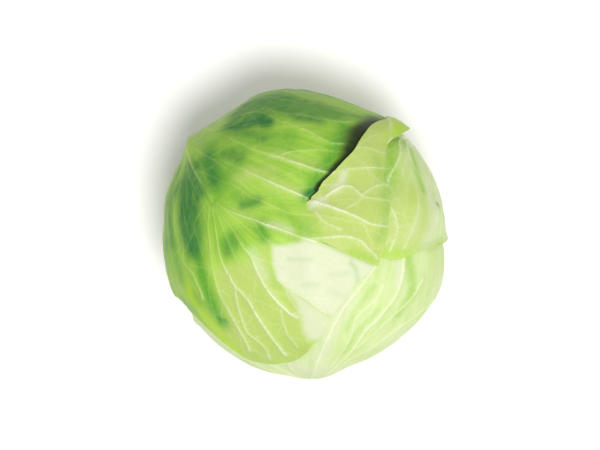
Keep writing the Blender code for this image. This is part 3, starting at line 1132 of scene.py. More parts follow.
def polar_place(ways: Array, middle: Array, towards: Array) -> Array:
    """Give places round a middle, as streaks that spread from it need them.

    Args:
        ways: Unit directions.
        middle: The direction of the middle.
        towards: The direction from which turns are counted.

    Returns:
        The cosine and the sine of each turn, and the angle from the middle over a right angle.
    """
    level = unit(towards - middle * np.dot(towards, middle))
    turn = np.arctan2(ways @ np.cross(level, middle), ways @ level)
    reach = angle_to(ways, middle) / (HALF_TURN / 2.0)
    return np.stack((np.cos(turn), np.sin(turn), reach), axis=1)


def soft_area(ways: Array, corners: Array, softness: float) -> Array:
    """Give 1 inside a shape on the head and 0 outside it, eased across its outline.

    The shape is seen from the middle of the head on a plane square to its own middle. A place is
    inside where a level line from it crosses the outline an odd number of times.

    Args:
        ways: Unit directions.
        corners: The directions of the shape's corners.
        softness: The half width in degrees of the ease across the outline.

    Returns:
        The amount at each direction.
    """
    aslant = (0.30, 0.50, 0.81)
    least_facing, facing_limit = 0.2, 0.3
    middle = unit(corners.mean(axis=0))
    across = unit(np.cross(middle, aslant))
    level = np.stack((across, np.cross(middle, across)), axis=1)
    facing = ways @ middle
    flat = ways @ level / np.maximum(facing, least_facing)[:, None]
    ring = corners @ level / (corners @ middle)[:, None]
    along = np.roll(ring, -1, axis=0) - ring
    offset, _, gap = to_stretches(flat, ring, along)
    gap = np.degrees(np.sqrt(gap.min(axis=1)))
    above = offset[..., 1] < 0.0
    rise = np.where(along[:, 1] == 0.0, TINY, along[:, 1])
    left = offset[..., 0] < offset[..., 1] * along[:, 0] / rise
    crossed = ((above != np.roll(above, -1, axis=1)) & left).sum(axis=1)
    signed = np.where(crossed % 2 == 1, gap, -gap)
    return ease(signed, (-softness, softness)) * (facing > facing_limit)


def soft_run(ways: Array, run: Array, width: float) -> Array:
    """Give a soft band along a run: exp(-d squared), d being the distance from it in widths.

    Args:
        ways: Unit directions.
        run: Two or more directions along the run.
        width: The band's half width in degrees.

    Returns:
        The amount at each direction, from 0 to 1.
    """
    _, _, gap = to_stretches(ways, run[:-1], run[1:] - run[:-1])
    return np.exp(-(np.degrees(np.sqrt(gap.min(axis=1))) / width) ** 2)


def mesh_object(name: str, points: Array, quads: Array, triangles: Array,
                attributes: dict[str, Array]) -> bpy.types.Object:
    """Make a smooth-shaded object at the origin; points that no face uses are left out.

    Args:
        name: The object's name.
        points: Its points.
        quads: Its four-sided faces.
        triangles: Its three-sided faces.
        attributes: Vectors at the points, by name.

    Returns:
        The object.
    """
    used = np.unique(np.concatenate((quads.ravel(), triangles.ravel())))
    renamed = np.full(len(points), -1)
    renamed[used] = np.arange(len(used))
    corners = np.concatenate((renamed[quads].ravel(), renamed[triangles].ravel()))
    sides = np.repeat((4, 3), (len(quads), len(triangles)))
    mesh = bpy.data.meshes.new(name)
    mesh.vertices.add(len(used))
    mesh.vertices.foreach_set("co", points[used].astype(np.float32).ravel())
    mesh.loops.add(len(corners))
    mesh.loops.foreach_set("vertex_index", corners.astype(np.int32))
    mesh.polygons.add(len(sides))
    starts = np.concatenate(([0], np.cumsum(sides)[:-1]))
    mesh.polygons.foreach_set("loop_start", starts.astype(np.int32))
    mesh.update(calc_edges=True)
    for label, values in attributes.items():
        layer = mesh.attributes.new(label, "FLOAT_VECTOR", "POINT")
        layer.data.foreach_set("vector", values[used].astype(np.float32).ravel())
    mesh.shade_smooth()
    mesh.set_sharp_from_angle(angle=math.radians(SHARP_ANGLE))
    obj = bpy.data.objects.new(name, mesh)
    bpy.context.scene.collection.objects.link(obj)
    return obj


def srgb(red: float, green: float, blue: float) -> Colour:
    """Give the linear colour of display values, by the sRGB formula.

    Args:
        red: The display value from 0 to 255.
        green: The same for green.
        blue: The same for blue.

    Returns:
        The linear values from 0 to 1.
    """
    full, knee, slope, lift, power = 255.0, 0.04045, 12.92, 0.055, 2.4
    shown = np.array((red, green, blue)) / full
    linear = np.where(shown <= knee, shown / slope, ((shown + lift) / (1.0 + lift)) ** power)
    return tuple(float(value) for value in linear)


class Signal:
    """A number in a shader, which takes part in arithmetic."""

    def __init__(self, bench: "Bench", socket: bpy.types.NodeSocket) -> None:
        """Wrap an output socket."""
        self.bench = bench
        self.socket = socket

    def math(self, operation: str, *values: "Signal | float") -> "Signal":
        """Add a Math node.

        Args:
            operation: What it does.
            values: The numbers that this one is taken with.

        Returns:
            The result.
        """
        node = self.bench.node("ShaderNodeMath", {"operation": operation},
                               dict(enumerate((self, *values))))
        return Signal(self.bench, node.outputs[0])

    def __add__(self, other: "Signal | float") -> "Signal":
        """Add."""
        return self.math("ADD", other)

    __radd__ = __add__

    def __sub__(self, other: "Signal | float") -> "Signal":
        """Take the other away."""
        return self.math("SUBTRACT", other)

    def __rsub__(self, other: float) -> "Signal":
        """Take this away from the other."""
        return self.math("MULTIPLY", -1.0).math("ADD", other)

    def __mul__(self, other: "Signal | float") -> "Signal":
        """Multiply."""
        return self.math("MULTIPLY", other)

    __rmul__ = __mul__

    def capped(self, most: float = 1.0) -> "Signal":
        """Give this, or the most where it is more."""
        return self.math("MINIMUM", most)

    def patches(self, least: float, span: float) -> "Signal":
        """Give the least plus a range times this."""
        return self * span + least

    def step(self, start: float, end: float) -> "Signal":
        """Ease from 0 to 1.

        Args:
            start: Where it is still 0.
            end: Where it is 1, above or below the start.

        Returns:
            The eased number.
        """
        node = self.bench.node("ShaderNodeMapRange", {"interpolation_type": "SMOOTHSTEP"},
                               {"Value": self, "From Min": start, "From Max": end})
        return Signal(self.bench, node.outputs[0])

    def bell(self, width: float) -> "Signal":
        """Give exp(-(this over width) squared)."""
        scaled = self * (1.0 / width)
        return (scaled * scaled * -1.0).math("EXPONENT")


class Bench:
    """The node tree of one material, and the few ways in which nodes are added to it."""

    def __init__(self, name: str) -> None:
        """Make the material, its tree empty but for the output.

        Args:
            name: The material's name.
        """
        self.material = bpy.data.materials.new(name)
        self.material.use_nodes = True
        self.tree = self.material.node_tree
        self.tree.nodes.clear()
        self.output = self.tree.nodes.new("ShaderNodeOutputMaterial")

    def node(self, kind: str, settings: dict, sockets: dict) -> bpy.types.Node:
        """Add a node.

        Args:
            kind: The node's type.
            settings: Its properties, set first.
            sockets: By name or place, a Signal or output socket to link, or a constant.

        Returns:
            The node.
        """
        node = self.tree.nodes.new(kind)
        for key, value in settings.items():
            setattr(node, key, value)
        for key, value in sockets.items():
            if isinstance(value, Signal):
                value = value.socket
            if isinstance(value, bpy.types.NodeSocket):
                self.tree.links.new(value, node.inputs[key])
            else:
                node.inputs[key].default_value = value
        return node

    def attribute(self, name: str) -> bpy.types.NodeSocket:
        """Give a vector attribute of the mesh."""
        return self.node("ShaderNodeAttribute", {"attribute_name": name}, {}).outputs["Vector"]

    def parts(self, vector: bpy.types.NodeSocket) -> tuple[Signal, Signal, Signal]:
        """Give the three numbers of a vector."""
        node = self.node("ShaderNodeSeparateXYZ", {}, {0: vector})
        return tuple(Signal(self, socket) for socket in node.outputs)

    def place(self) -> bpy.types.NodeSocket:
        """Give the place on the object."""
        return self.node("ShaderNodeTexCoord", {}, {}).outputs["Object"]

    def noise(self, vector: bpy.types.NodeSocket, scale: float, detail: float = 3.0) -> Signal:
        """Give soft noise.

        Args:
            vector: The place to read it at.
            scale: How many waves there are in a unit.
            detail: How many finer layers are added.

        Returns:
            The noise, from 0 to 1.
        """
        node = self.node("ShaderNodeTexNoise", {}, {"Vector": vector, "Scale": scale,
                                                    "Detail": detail})
        return Signal(self, node.outputs[0])

    def mix(self, amount: Signal, first: object, second: object) -> bpy.types.NodeSocket:
        """Mix two colours.

        Args:
            amount: How much of the second shows.
            first: A colour or an output socket.
            second: The same.

        Returns:
            The mixed colour.
        """
        first, second = (value if isinstance(value, bpy.types.NodeSocket) else (*value, 1.0)
                         for value in (first, second))
        return self.node("ShaderNodeMix", {"data_type": "RGBA"},
                         {0: amount, 6: first, 7: second}).outputs[2]

    def cells(self, vector: bpy.types.NodeSocket, scale: float, width: float) -> Signal:
        """Give the fine lines between uneven cells.

        Args:
            vector: The place to read them at.
            scale: How many cells there are in a unit.
            width: The width of the lines, as a share of a cell.

        Returns:
            1 on a line, falling to 0 beside it.
        """
        node = self.node("ShaderNodeTexVoronoi", {"feature": "DISTANCE_TO_EDGE"},
                         {"Vector": vector, "Scale": scale})
        return Signal(self, node.outputs[0]).bell(width)

    def uneven(self, place: bpy.types.NodeSocket, mottle: Signal) -> bpy.types.NodeSocket:
        """Shift a place unevenly, so that what is read there isn't regular.

        Args:
            place: The place.
            mottle: The noise that shifts it, by up to a few millimetres.

        Returns:
            The shifted place.
        """
        towards, most = (1.0, 0.7, -0.8), 0.006
        shift = self.node("ShaderNodeVectorMath", {"operation": "SCALE"},
                          {0: towards, "Scale": mottle * most}).outputs[0]
        return self.node("ShaderNodeVectorMath", {"operation": "ADD"},
                         {0: place, 1: shift}).outputs[0]

    def bump(self, height: Signal, distance: float) -> bpy.types.NodeSocket:
        """Give a normal raised by a height from 0 to 1 times a distance in metres."""
        sockets = {"Height": height, "Distance": distance, "Strength": 1.0}
        return self.node("ShaderNodeBump", {}, sockets).outputs[0]

    def finish(self, sockets: dict) -> bpy.types.Material:
        """Close the tree with a Principled shader.

        Args:
            sockets: By name, a Signal or output socket to link, or a constant.

        Returns:
            The material.
        """
        shader = self.node("ShaderNodeBsdfPrincipled", {}, sockets)
        self.tree.links.new(shader.outputs[0], self.output.inputs[0])
        return self.material


@dataclass(frozen=True)
class LeafFinish:
    """Waxy leaf tissue: green between pale raised veins, with a fine net and soft streaks.

    Scales are waves or cells in a metre. The fan fade is how far the veins are lost round the
    fan point. Pairs named ends are values between which something eases in, and pairs named
    patches are the least of a tissue and the range that noise adds. The relief shares are those
    of the veins, the threads, the mottle and the streaks. Some colours stand for light: the deep
    green is also painted shade, the bloom also a painted rim sheen, the pale colour also a
    painted highlight, and the shaded colour a painted shadow.
    """

    name: str
    lamina: Colour
    light: Colour
    fresh: Colour
    deep_and_shade: Colour
    vein: Colour
    margin: Colour
    fan_fade: float
    # Pale tissue, also the colour of the painted highlight on the pale patch.
    pale: Colour = srgb(199, 206, 176)
    pale_vein: Colour = srgb(213, 220, 186)
    blanched: Colour = srgb(171, 190, 102)
    # The colour of the painted shadow in the crack.
    shaded: Colour = srgb(34, 46, 24)
    lime: Colour = srgb(166, 204, 30)
    # Waxy bloom with a painted rim sheen.
    bloom_and_sheen: Colour = srgb(132, 168, 112)
    roughness: float = 0.32
    mottle_roughness: float = 0.16
    specular: float = 0.10
    relief: float = 0.0004
    relief_shares: tuple = (0.6, 0.12, 0.3, 0.4)
    cloud_scale: float = 38.0
    mottle_scale: float = 160.0
    mottle_share: float = 0.5
    light_ends: tuple = (0.22, 0.78)
    light_patches: tuple = (-0.2, 0.7)
    blanched_patches: tuple = (0.7, 0.5)
    pale_and_highlight_patches: tuple = (0.85, 0.3)
    fresh_patches: tuple = (0.55, 0.6)
    deep_and_shade_patches: tuple = (0.25, 1.0)
    bloom_and_sheen_patches: tuple = (0.45, 0.6)
    lime_show: float = 0.92
    shade_patches: tuple = (0.85, 0.3)
    shade_most: float = 0.97
    net_scale: float = 330.0
    thread_width: float = 0.06
    thread_show: float = 0.10
    thread_loss: float = 0.07
    vein_loss: float = 0.45
    rim_ends: tuple = (0.10, 0.0)
    rim_show: float = 0.6
    rim_loss: float = 0.85
    streak_pitches: tuple = (("fan_place", (20.0, 20.0, 2.5)), ("rib_place", (24.0, 24.0, 2.0)))
    beside_ends: tuple = (0.85, 0.2)
    back_ends: tuple = (0.2, -0.6)
    back_reach_ends: tuple = (0.42, 0.75)
    back_calm: float = 0.8
    fade_ends: tuple = (0.05, 0.3)
    core_width: float = 0.7
    core_ends: tuple = (2.4, 1.2)
    core_show: float = 0.95
    core_most: float = 0.85
    core_patches: tuple = (0.35, 0.65)
    vein_most: float = 0.92
    halo_width: float = 1.9
    halo_show: float = 0.24
    patch_scale: float = 75.0
    patch_ends: tuple = (0.2, 0.7)

    def make(self) -> bpy.types.Material:
        """Build the material from the leaf's attributes and its place.

        Returns:
            The material.
        """
        bench = Bench(self.name)
        place = bench.place()
        deep_and_shade, fresh, bloom_and_sheen = bench.parts(bench.attribute("leaf_green_shade_sheen"))
        pallor, white, lime = bench.parts(bench.attribute("leaf_pale_highlight"))
        inside, shade, _ = bench.parts(bench.attribute("leaf_edge_shadow"))
        cloud = bench.noise(place, self.cloud_scale)
        mottle = bench.noise(place, self.mottle_scale)
        streak = self.streaks(bench)
        uneven = mottle * self.mottle_share + streak
        lightness = (cloud + streak).patches(*self.light_patches).step(*self.light_ends)
        colour = bench.mix(lightness, self.lamina, self.light)
        # The deep green is also painted shade, the bloom also a painted rim sheen, and the pale
        # colour also a painted highlight.
        for amount, tissue in (
                (pallor * cloud.patches(*self.blanched_patches).capped(), self.blanched),
                (white * mottle.patches(*self.pale_and_highlight_patches).capped(), self.pale),
                ((fresh * uneven.patches(*self.fresh_patches)).capped(), self.fresh),
                ((deep_and_shade * uneven.patches(*self.deep_and_shade_patches)).capped(), self.deep_and_shade),
                (lime * self.lime_show, self.lime),
                (bloom_and_sheen * streak.patches(*self.bloom_and_sheen_patches), self.bloom_and_sheen)):
            colour = bench.mix(amount, colour, tissue)
        threads = bench.cells(bench.uneven(place, mottle), self.net_scale, self.thread_width)
        blanch = (pallor + white).capped()
        vein = bench.mix(blanch, self.vein, self.pale_vein)
        colour = bench.mix(threads * (self.thread_show - self.thread_loss * deep_and_shade), colour, vein)
        crisp, shown = self.vein_lines(bench)
        colour = bench.mix(shown * (1.0 - self.vein_loss * deep_and_shade), colour, vein)
        rim = inside.step(*self.rim_ends) * self.rim_show * (1.0 - self.rim_loss * blanch)
        colour = bench.mix(rim, colour, self.margin)
        # Painted shadow in the crack, in the shaded colour.
        painted_crack_shadow = (shade * streak.patches(*self.shade_patches)).capped(self.shade_most)
        colour = bench.mix(painted_crack_shadow, colour, self.shaded)
        height = sum(part * share for part, share in
                     zip((crisp, threads, mottle, streak), self.relief_shares))
        return bench.finish({
            "Base Color": colour,
            "Roughness": mottle.patches(self.roughness, self.mottle_roughness),
            "Normal": bench.bump(height, self.relief),
            "Specular IOR Level": self.specular,
        })

    def streaks(self, bench: Bench) -> Signal:
        """Give soft streaks.

        They spread from the fan point in front of it, and from a point down the midrib beside
        it, and are nearly lost on the back of the leaf.

        Args:
            bench: The material's node tree.

        Returns:
            The streaks, from 0 to 1.
        """
        fans = []
        for label, pitch in self.streak_pitches:
            scaled = bench.node("ShaderNodeVectorMath", {"operation": "MULTIPLY"},
                                {0: bench.attribute(label), 1: pitch})
            fans.append(bench.noise(scaled.outputs[0], 1.0))
        ahead, beside = fans
        facing, _, reach = bench.parts(bench.attribute("fan_place"))
        runs = ahead + (beside - ahead) * facing.step(*self.beside_ends)
        calm = facing.step(*self.back_ends) * reach.step(*self.back_reach_ends)
        return runs + (0.5 - runs) * calm * self.back_calm

    def vein_lines(self, bench: Bench) -> tuple[Signal, Signal]:
        """Give the veins: a crisp core in uneven patches, and a soft halo beside it.

        Args:
            bench: The material's node tree.

        Returns:
            The relief from 0 to 1, and how much of the veins' colour shows.
        """
        signed, distance, strength = bench.parts(bench.attribute("vein_line"))
        _, _, reach = bench.parts(bench.attribute("fan_place"))
        noise = bench.noise(bench.place(), self.patch_scale).step(*self.patch_ends)
        clear = reach.step(*self.fade_ends).patches(1.0 - self.fan_fade, self.fan_fade)
        core = signed.bell(self.core_width) * distance.step(*self.core_ends)
        halo = distance.bell(self.halo_width) * strength
        full = (strength * self.core_show).capped(self.core_most)
        shown = core * full * noise.patches(*self.core_patches)
        shown = (shown + halo * self.halo_show) * clear
        return core * strength, shown.capped(self.vein_most)


@dataclass(frozen=True)
class HeartFinish:
    """Blanched inner leaves: cream to pale green, with faint veins that climb to the crown."""

    name: str = "heart_tissue"
    cream: Colour = srgb(228, 233, 192)
    green: Colour = srgb(196, 216, 140)
    vein: Colour = srgb(244, 246, 226)
    cloud_scale: float = 30.0
    mottle_scale: float = 140.0
    green_ends: tuple = (0.35, 0.65)
    net_scale: float = 120.0
    thread_width: float = 0.05
    thread_show: float = 0.5
    roughness: float = 0.38
    mottle_roughness: float = 0.16
    relief: float = 0.0004
    relief_shares: tuple = (0.6, 0.4)

    def make(self) -> bpy.types.Material:
        """Build the material from the place on the heart.

        Returns:
            The material.
        """
        bench = Bench(self.name)
        place = bench.place()
        cloud = bench.noise(place, self.cloud_scale)
        mottle = bench.noise(place, self.mottle_scale)
        threads = bench.cells(bench.uneven(place, mottle), self.net_scale, self.thread_width)
        colour = bench.mix(cloud.step(*self.green_ends), self.cream, self.green)
        colour = bench.mix(threads * self.thread_show, colour, self.vein)
        raised, rough = self.relief_shares
        height = threads * raised + mottle * rough
        return bench.finish({"Base Color": colour,
                             "Roughness": mottle.patches(self.roughness, self.mottle_roughness),
                             "Normal": bench.bump(height, self.relief)})


@dataclass(frozen=True)
class StemFinish:
    """A cut stem: pale pith inside a fibrous ring, a green-white rind, and a dried cut face.

    Pairs named ends are distances between which something eases in: from the stem's axis for the
    ring and the rind, and above the cut for the face.
    """

    name: str = "cut_stem_tissue"
    pith: Colour = srgb(236, 232, 206)
    ring: Colour = srgb(214, 206, 160)
    rind: Colour = srgb(206, 216, 160)
    dried: Colour = srgb(176, 152, 104)
    grain_scale: float = 420.0
    cloud_scale: float = 90.0
    wander: float = 0.0022
    ring_ends: tuple = (0.0082, 0.0096)
    ring_lost_ends: tuple = (0.0118, 0.0104)
    rind_ends: tuple = (0.0128, 0.0142)
    face_ends: tuple = (0.0012, 0.0002)
    dried_ends: tuple = (0.42, 0.72)
    dried_show: float = 0.55
    roughness: float = 0.55
    grain_roughness: float = 0.25
    relief: float = 0.0005
    relief_shares: tuple = (0.6, 0.4)

    def make(self) -> bpy.types.Material:
        """Build the material from the distance to the stem's axis.

        Returns:
            The material.
        """
        bench = Bench(self.name)
        place = bench.place()
        x, y, z = bench.parts(place)
        radius = (x * x + y * y).math("SQRT")
        grain = bench.noise(place, self.grain_scale)
        cloud = bench.noise(place, self.cloud_scale)
        near = radius + (cloud - 0.5) * self.wander
        in_ring = near.step(*self.ring_ends) * near.step(*self.ring_lost_ends)
        colour = bench.mix(in_ring, self.pith, self.ring)
        colour = bench.mix(near.step(*self.rind_ends), colour, self.rind)
        dried = z.step(*self.face_ends) * (grain * 0.5 + cloud * 0.5).step(*self.dried_ends)
        colour = bench.mix(dried * self.dried_show, colour, self.dried)
        fine, broad = self.relief_shares
        height = grain * fine + cloud * broad
        return bench.finish({"Base Color": colour,
                             "Roughness": grain.patches(self.roughness, self.grain_roughness),
                             "Normal": bench.bump(height, self.relief)})


@dataclass
class Heart:
    """The tight inner head, its lapped leaves raised from its surface.

    Pairs named ends are shares, of a leaf's lap or of the height, in which something eases in.
    """

    columns: int = 300
    rows: int = 110
    leaves: int = 5
    climb: float = 1.3
    lap_depth: float = 0.0012
    drop_ends: tuple = (0.96, 1.0)
    calm_ends: tuple = (0.0, 0.1)
    sunk: float = 0.0004
    uneven: float = 0.0002
    uneven_wave: float = 16.0
    uneven_count: int = 14
    seed: int = 5

    def build(self) -> bpy.types.Object:
        """Build the heart.

        Its radius is the head's inner radius less a lap that grows round the head to the next
        leaf's margin and drops there, and every margin climbs as a spiral.

        Returns:
            The piece.
        """
        column, row = np.meshgrid(np.arange(self.columns), np.arange(1, self.rows), indexing="ij")
        turn = column.T.ravel() / self.columns
        from_top = (1.0 - row.T.ravel() / self.rows) * HALF_TURN
        ways = np.concatenate((direction(turn * FULL_TURN, from_top),
                               direction(0.0, HALF_TURN)[None], direction(0.0, 0.0)[None]))
        turn = np.concatenate((turn, (0.0, 0.0)))
        height = (ways[:, 2] + 1.0) / 2.0
        lap = (turn * self.leaves + self.climb * height) % 1.0
        lap = lap * (1.0 - ease(lap, self.drop_ends))
        calm = ease(height, self.calm_ends) * ease(1.0 - height, self.calm_ends)
        uneven = ripples(ways, self.uneven_wave, self.uneven_count, self.seed) * self.uneven
        radius = HEAD.heart_radius(ways) - self.lap_depth * lap * calm - self.sunk + uneven
        return mesh_object("heart_head", HEAD.points(ways, radius),
                           *globe_faces(self.columns, self.rows - 1), {})


@dataclass
class Stem:
    """The cut stem: a stub with a flat sawn face and an eased, slightly lobed edge."""

    radius: float = 0.0160
    height: float = 0.0142
    edge: float = 0.0012
    columns: int = 160
    face_rows: int = 8
    edge_rows: int = 7
    side_rows: int = 14
    face_start: float = 0.12
    lobe_depth: float = 0.0009
    lobe_mean: float = 0.5
    lobes: tuple = ((5.0, 0.6, 0.3), (11.0, 0.0, 0.2))

    def build(self) -> bpy.types.Object:
        """Build the stem: a profile carried round, its sides lobed where leaves stood.

        The profile runs from the middle of the sawn face over the eased edge and up the side.
        Each lobe is a count of waves round the stem, their start and their share, and the lobes
        fade out at both faces.

        Returns:
            The piece.
        """
        flat = self.radius - self.edge
        bend = np.linspace(0.0, math.pi / 2.0, self.edge_rows)
        face = np.linspace(self.face_start, 1.0, self.face_rows + 1)[:-1] * flat
        side = np.linspace(self.edge, self.height - self.edge, self.side_rows + 2)[1:-1]
        out = np.concatenate((face, flat + self.edge * np.sin(bend),
                              np.full(self.side_rows, self.radius),
                              flat + self.edge * np.sin(bend[::-1]), face[::-1]))
        lift = np.concatenate((np.zeros(len(face)), self.edge - self.edge * np.cos(bend), side,
                               self.height - self.edge + self.edge * np.cos(bend[::-1]),
                               np.full(len(face), self.height)))
        turn = np.arange(self.columns) / self.columns * 2.0 * math.pi
        middle = np.sin(np.pi * lift / self.height) * (out >= flat - TINY)
        waves = self.lobe_mean + sum(share * np.cos(count * turn + start)
                                     for count, start, share in self.lobes)
        rows = out[:, None] - self.lobe_depth * middle[:, None] * waves[None, :]
        points = np.stack((rows * np.cos(turn), rows * np.sin(turn),
                           np.broadcast_to(lift[:, None], rows.shape)), axis=2).reshape(-1, 3)
        points = np.concatenate((points, ((0.0, 0.0, 0.0), (0.0, 0.0, self.height))))
        return mesh_object("stem_stub", points, *globe_faces(self.columns, len(out)), {})


def globe_faces(columns: int, rows: int) -> tuple[Array, Array]:
    """Give the faces of a globe whose last two vertices are its bottom and its top.

    Args:
        columns: How many vertices there are in a row round it.
        rows: How many rows there are, from the bottom up.

    Returns:
        The four-sided cells, and the triangles that close both ends.
    """
    column, row = np.meshgrid(np.arange(columns), np.arange(rows - 1), indexing="ij")
    column, row = column.ravel(), row.ravel()
    beside = (column + 1) % columns
    quads = np.stack((row * columns + column, row * columns + beside,
                      (row + 1) * columns + beside, (row + 1) * columns + column), axis=1)
    first = np.arange(columns)
    second = (first + 1) % columns
    low, high, top = rows * columns, rows * columns + 1, (rows - 1) * columns
    below = np.stack((np.full(columns, low), second, first), axis=1)
    above = np.stack((np.full(columns, high), top + first, top + second), axis=1)
    return quads, np.concatenate((below, above))


@dataclass(frozen=True)
class SoftLight:
    """A round soft light that faces the head: where it hangs, its width and its power."""

    name: str
    azimuth: float
    elevation: float
    size: float
    power: float
    distance: float = 1.3

    def hang(self) -> None:
        """Put the light in the scene."""
        light = bpy.data.lights.new(self.name, "AREA")
        light.shape = "DISK"
        light.size = self.size
        light.energy = self.power
        lamp = bpy.data.objects.new(self.name, light)
        away = direction(self.azimuth, HALF_TURN / 2.0 - self.elevation)
        lamp.location = away * self.distance + np.array((0.0, 0.0, HEAD.centre_height))
        lamp.rotation_mode = "QUATERNION"
        lamp.rotation_quaternion = lamp.location.to_track_quat("Z", "Y")
        bpy.context.scene.collection.objects.link(lamp)


@dataclass
class Studio:
    """The pale floor, the lights, the white surroundings, and the camera straight above.

    The strong light hangs high at the bottom of the view, and the weak one low at its right.
    """

    camera_place: tuple = (-0.00125, 0.0075, HEAD.centre_height + 0.9375)
    lens: float = 90.0
    sensor: float = 36.0
    floor_half: float = 2.5
    floor_level: float = -0.0001
    floor_paint: tuple = (0.94, 0.94, 0.945, 1.0)
    floor_roughness: float = 0.9
    floor_specular: float = 0.1
    lights: tuple = (SoftLight("soft_window", -69.0, 75.0, 0.42, 13.6),
                     SoftLight("soft_fill", -4.0, 14.0, 0.60, 1.7))
    sky: float = 0.60
    sky_colour: tuple = (1.0, 0.97, 0.92, 1.0)

    def build(self) -> None:
        """Set the floor, the lights, the surroundings and the camera up."""
        self.floor()
        for light in self.lights:
            light.hang()
        world = bpy.data.worlds.new("white_surroundings")
        world.use_nodes = True
        background = world.node_tree.nodes["Background"]
        background.inputs["Color"].default_value = self.sky_colour
        background.inputs["Strength"].default_value = self.sky
        bpy.context.scene.world = world
        camera = bpy.data.cameras.new("view_from_above")
        camera.lens = self.lens
        camera.sensor_width = self.sensor
        holder = bpy.data.objects.new("view_from_above", camera)
        holder.location = self.camera_place
        bpy.context.scene.collection.objects.link(holder)
        bpy.context.scene.camera = holder
        bpy.context.scene.view_settings.view_transform = "Standard"

    def floor(self) -> None:
        """Lay the white floor just under the stem's face."""
        signs = np.array(((-1, -1), (1, -1), (1, 1), (-1, 1)))
        corners = np.column_stack((signs * self.floor_half, np.full(4, self.floor_level)))
        floor = mesh_object("white_floor", corners, np.array(((0, 1, 2, 3),)),
                            np.zeros((0, 3), int), {})
        bench = Bench("white_floor_paint")
        floor.data.materials.append(bench.finish({"Base Color": self.floor_paint,
                                                  "Roughness": self.floor_roughness,
                                                  "Specular IOR Level": self.floor_specular}))


COVERED = {"rays": ((0, -180.0), (32, -162.0), (368, 162.0), (400, 180.0)), "rings": 100}
INNER_LEAVES = (
    LeafPlan(
        "wrapper_leaf_6", "pale_leaf", (92.0, 163.3), (88.0, 62.0),
        ((-180, 101), (-150, 88), (-120, 74), (-85, 66), (-45, 60), (0, 58), (45, 61), (85, 67),
         (120, 75), (150, 88)),
        0.0026, 0.4, seed=61, **COVERED,
        fan_headings=(-128, -96, -70, -46, -22, 3, 26, 50, 76, 102, 132),
    ),
    LeafPlan(
        "wrapper_leaf_5", "pale_leaf", (336.0, 163.3), (344.0, 72.0),
        ((-180, 91), (-150, 84), (-120, 72), (-85, 62), (-45, 58), (0, 60), (45, 60), (85, 60),
         (120, 70), (150, 84)),
        0.0028, 2.1, seed=51, **COVERED,
        fan_headings=(-130, -98, -72, -47, -21, 2, 27, 52, 75, 104, 133),
    ),
    LeafPlan(
        "wrapper_leaf_4", "pale_leaf", (205.0, 163.3), (206.0, 68.0),
        ((-180, 95), (-150, 86), (-120, 76), (-85, 66), (-45, 60), (0, 62), (45, 62), (85, 66),
         (120, 76), (150, 86)),
        0.0028, 4.0, seed=41, **COVERED,
        fan_headings=(-131, -99, -71, -48, -23, 1, 24, 49, 77, 103, 131),
    ),
)

LOWER_COURSES = (
    Course(((4, 34), (17.5, 34.3), (24.3, 37), (30.3, 37.9), (36, 38.3), (41.1, 38.8), (45.6, 41.6),
     (49.8, 43.9), (53.8, 45.8), (58.1, 47), (62.1, 47.4), (66.9, 47.2), (71.8, 46.2), (82, 46)),
     0.7, 1.0),
    Course(((4, 8), (25, 8.7), (34.4, 11.6), (42.2, 15.4), (48.5, 18.9), (52.8, 22.1), (57.8, 25.9),
     (63.6, 29.5), (68.1, 32.4), (76, 35)), 0.7, 0.9),
    Course(((6, 28), (18.4, 28.1), (27.6, 28.8), (35.2, 29.6), (41.2, 29.2), (45.8, 28.7),
     (48.5, 31), (52.1, 34.5), (56.1, 37.3), (61, 38.7)), 0.6, 0.5),
    Course(((6, 46), (22.1, 46), (28.2, 53.2), (34.1, 57.6), (40.4, 60.3), (46.2, 64.9),
     (52.9, 72.1), (61.3, 82.5)), 0.6, 0.8),
    Course(((30.3, 40), (39.1, 46.7), (44.2, 49.1), (49.1, 52.1), (53.8, 55.6), (58.2, 58.2),
     (66, 60)), 0.5, 0.7),
    Course(((5, -30), (20, -24), (34, -12), (48, -4), (62, 2)), 0.6, 0.4),
    Course(((5, 85), (20, 84), (38, 88)), 0.6, 0.4),
)
LOWER_MARKS = {
    MarkKind.WHITE_AND_HIGHLIGHT: (
        Mark(((55, 20.6), (47.6, 18), (37.4, 13.5), (26.3, 9.2)), 4.5, 0.65),
        Mark(((72, 43.4), (67, 45.2), (62, 46.2)), 2.2, 0.75),
        Mark(((17.7, -12), (14.9, 3.5), (16.7, 16.7)), 5.0, 0.6),
        Mark(((8, 20), (4, -10)), 7.0, 0.5),
    ),
    MarkKind.FRESH: (
        Mark(((74, 48), (64.7, 54), (59, 57), (50, 55)), 2.8, 0.6),
        Mark(((60, 34), (52, 29), (40, 24)), 1.6, 0.32),
        Mark(((50, 40), (40, 33), (28, 32)), 1.5, 0.3),
    ),
    MarkKind.LIME: (
        Mark(((80.8, 84), (68.2, 86), (57.2, 81), (50, 72)), 1.2, 0.55),
    ),
}
LOWER_LEAF = LeafPlan(
    "wrapper_leaf_3", "pale_leaf", (271.0, 163.3), (273.0, 80.0),
    ((-180, 83), (-150, 74), (-120, 58), (-90, 54), (-70, 58), (-40, 68), (0, 80), (32, 86),
     (58, 87), (73, 82), (84, 70), (93, 60), (110, 56), (125, 60), (150, 73)),
    0.0032, 1.2, seed=31,
    courses=LOWER_COURSES,
    fan_headings=(-126, -98, -74, -52, 100, 128),
    marks=LOWER_MARKS,
)

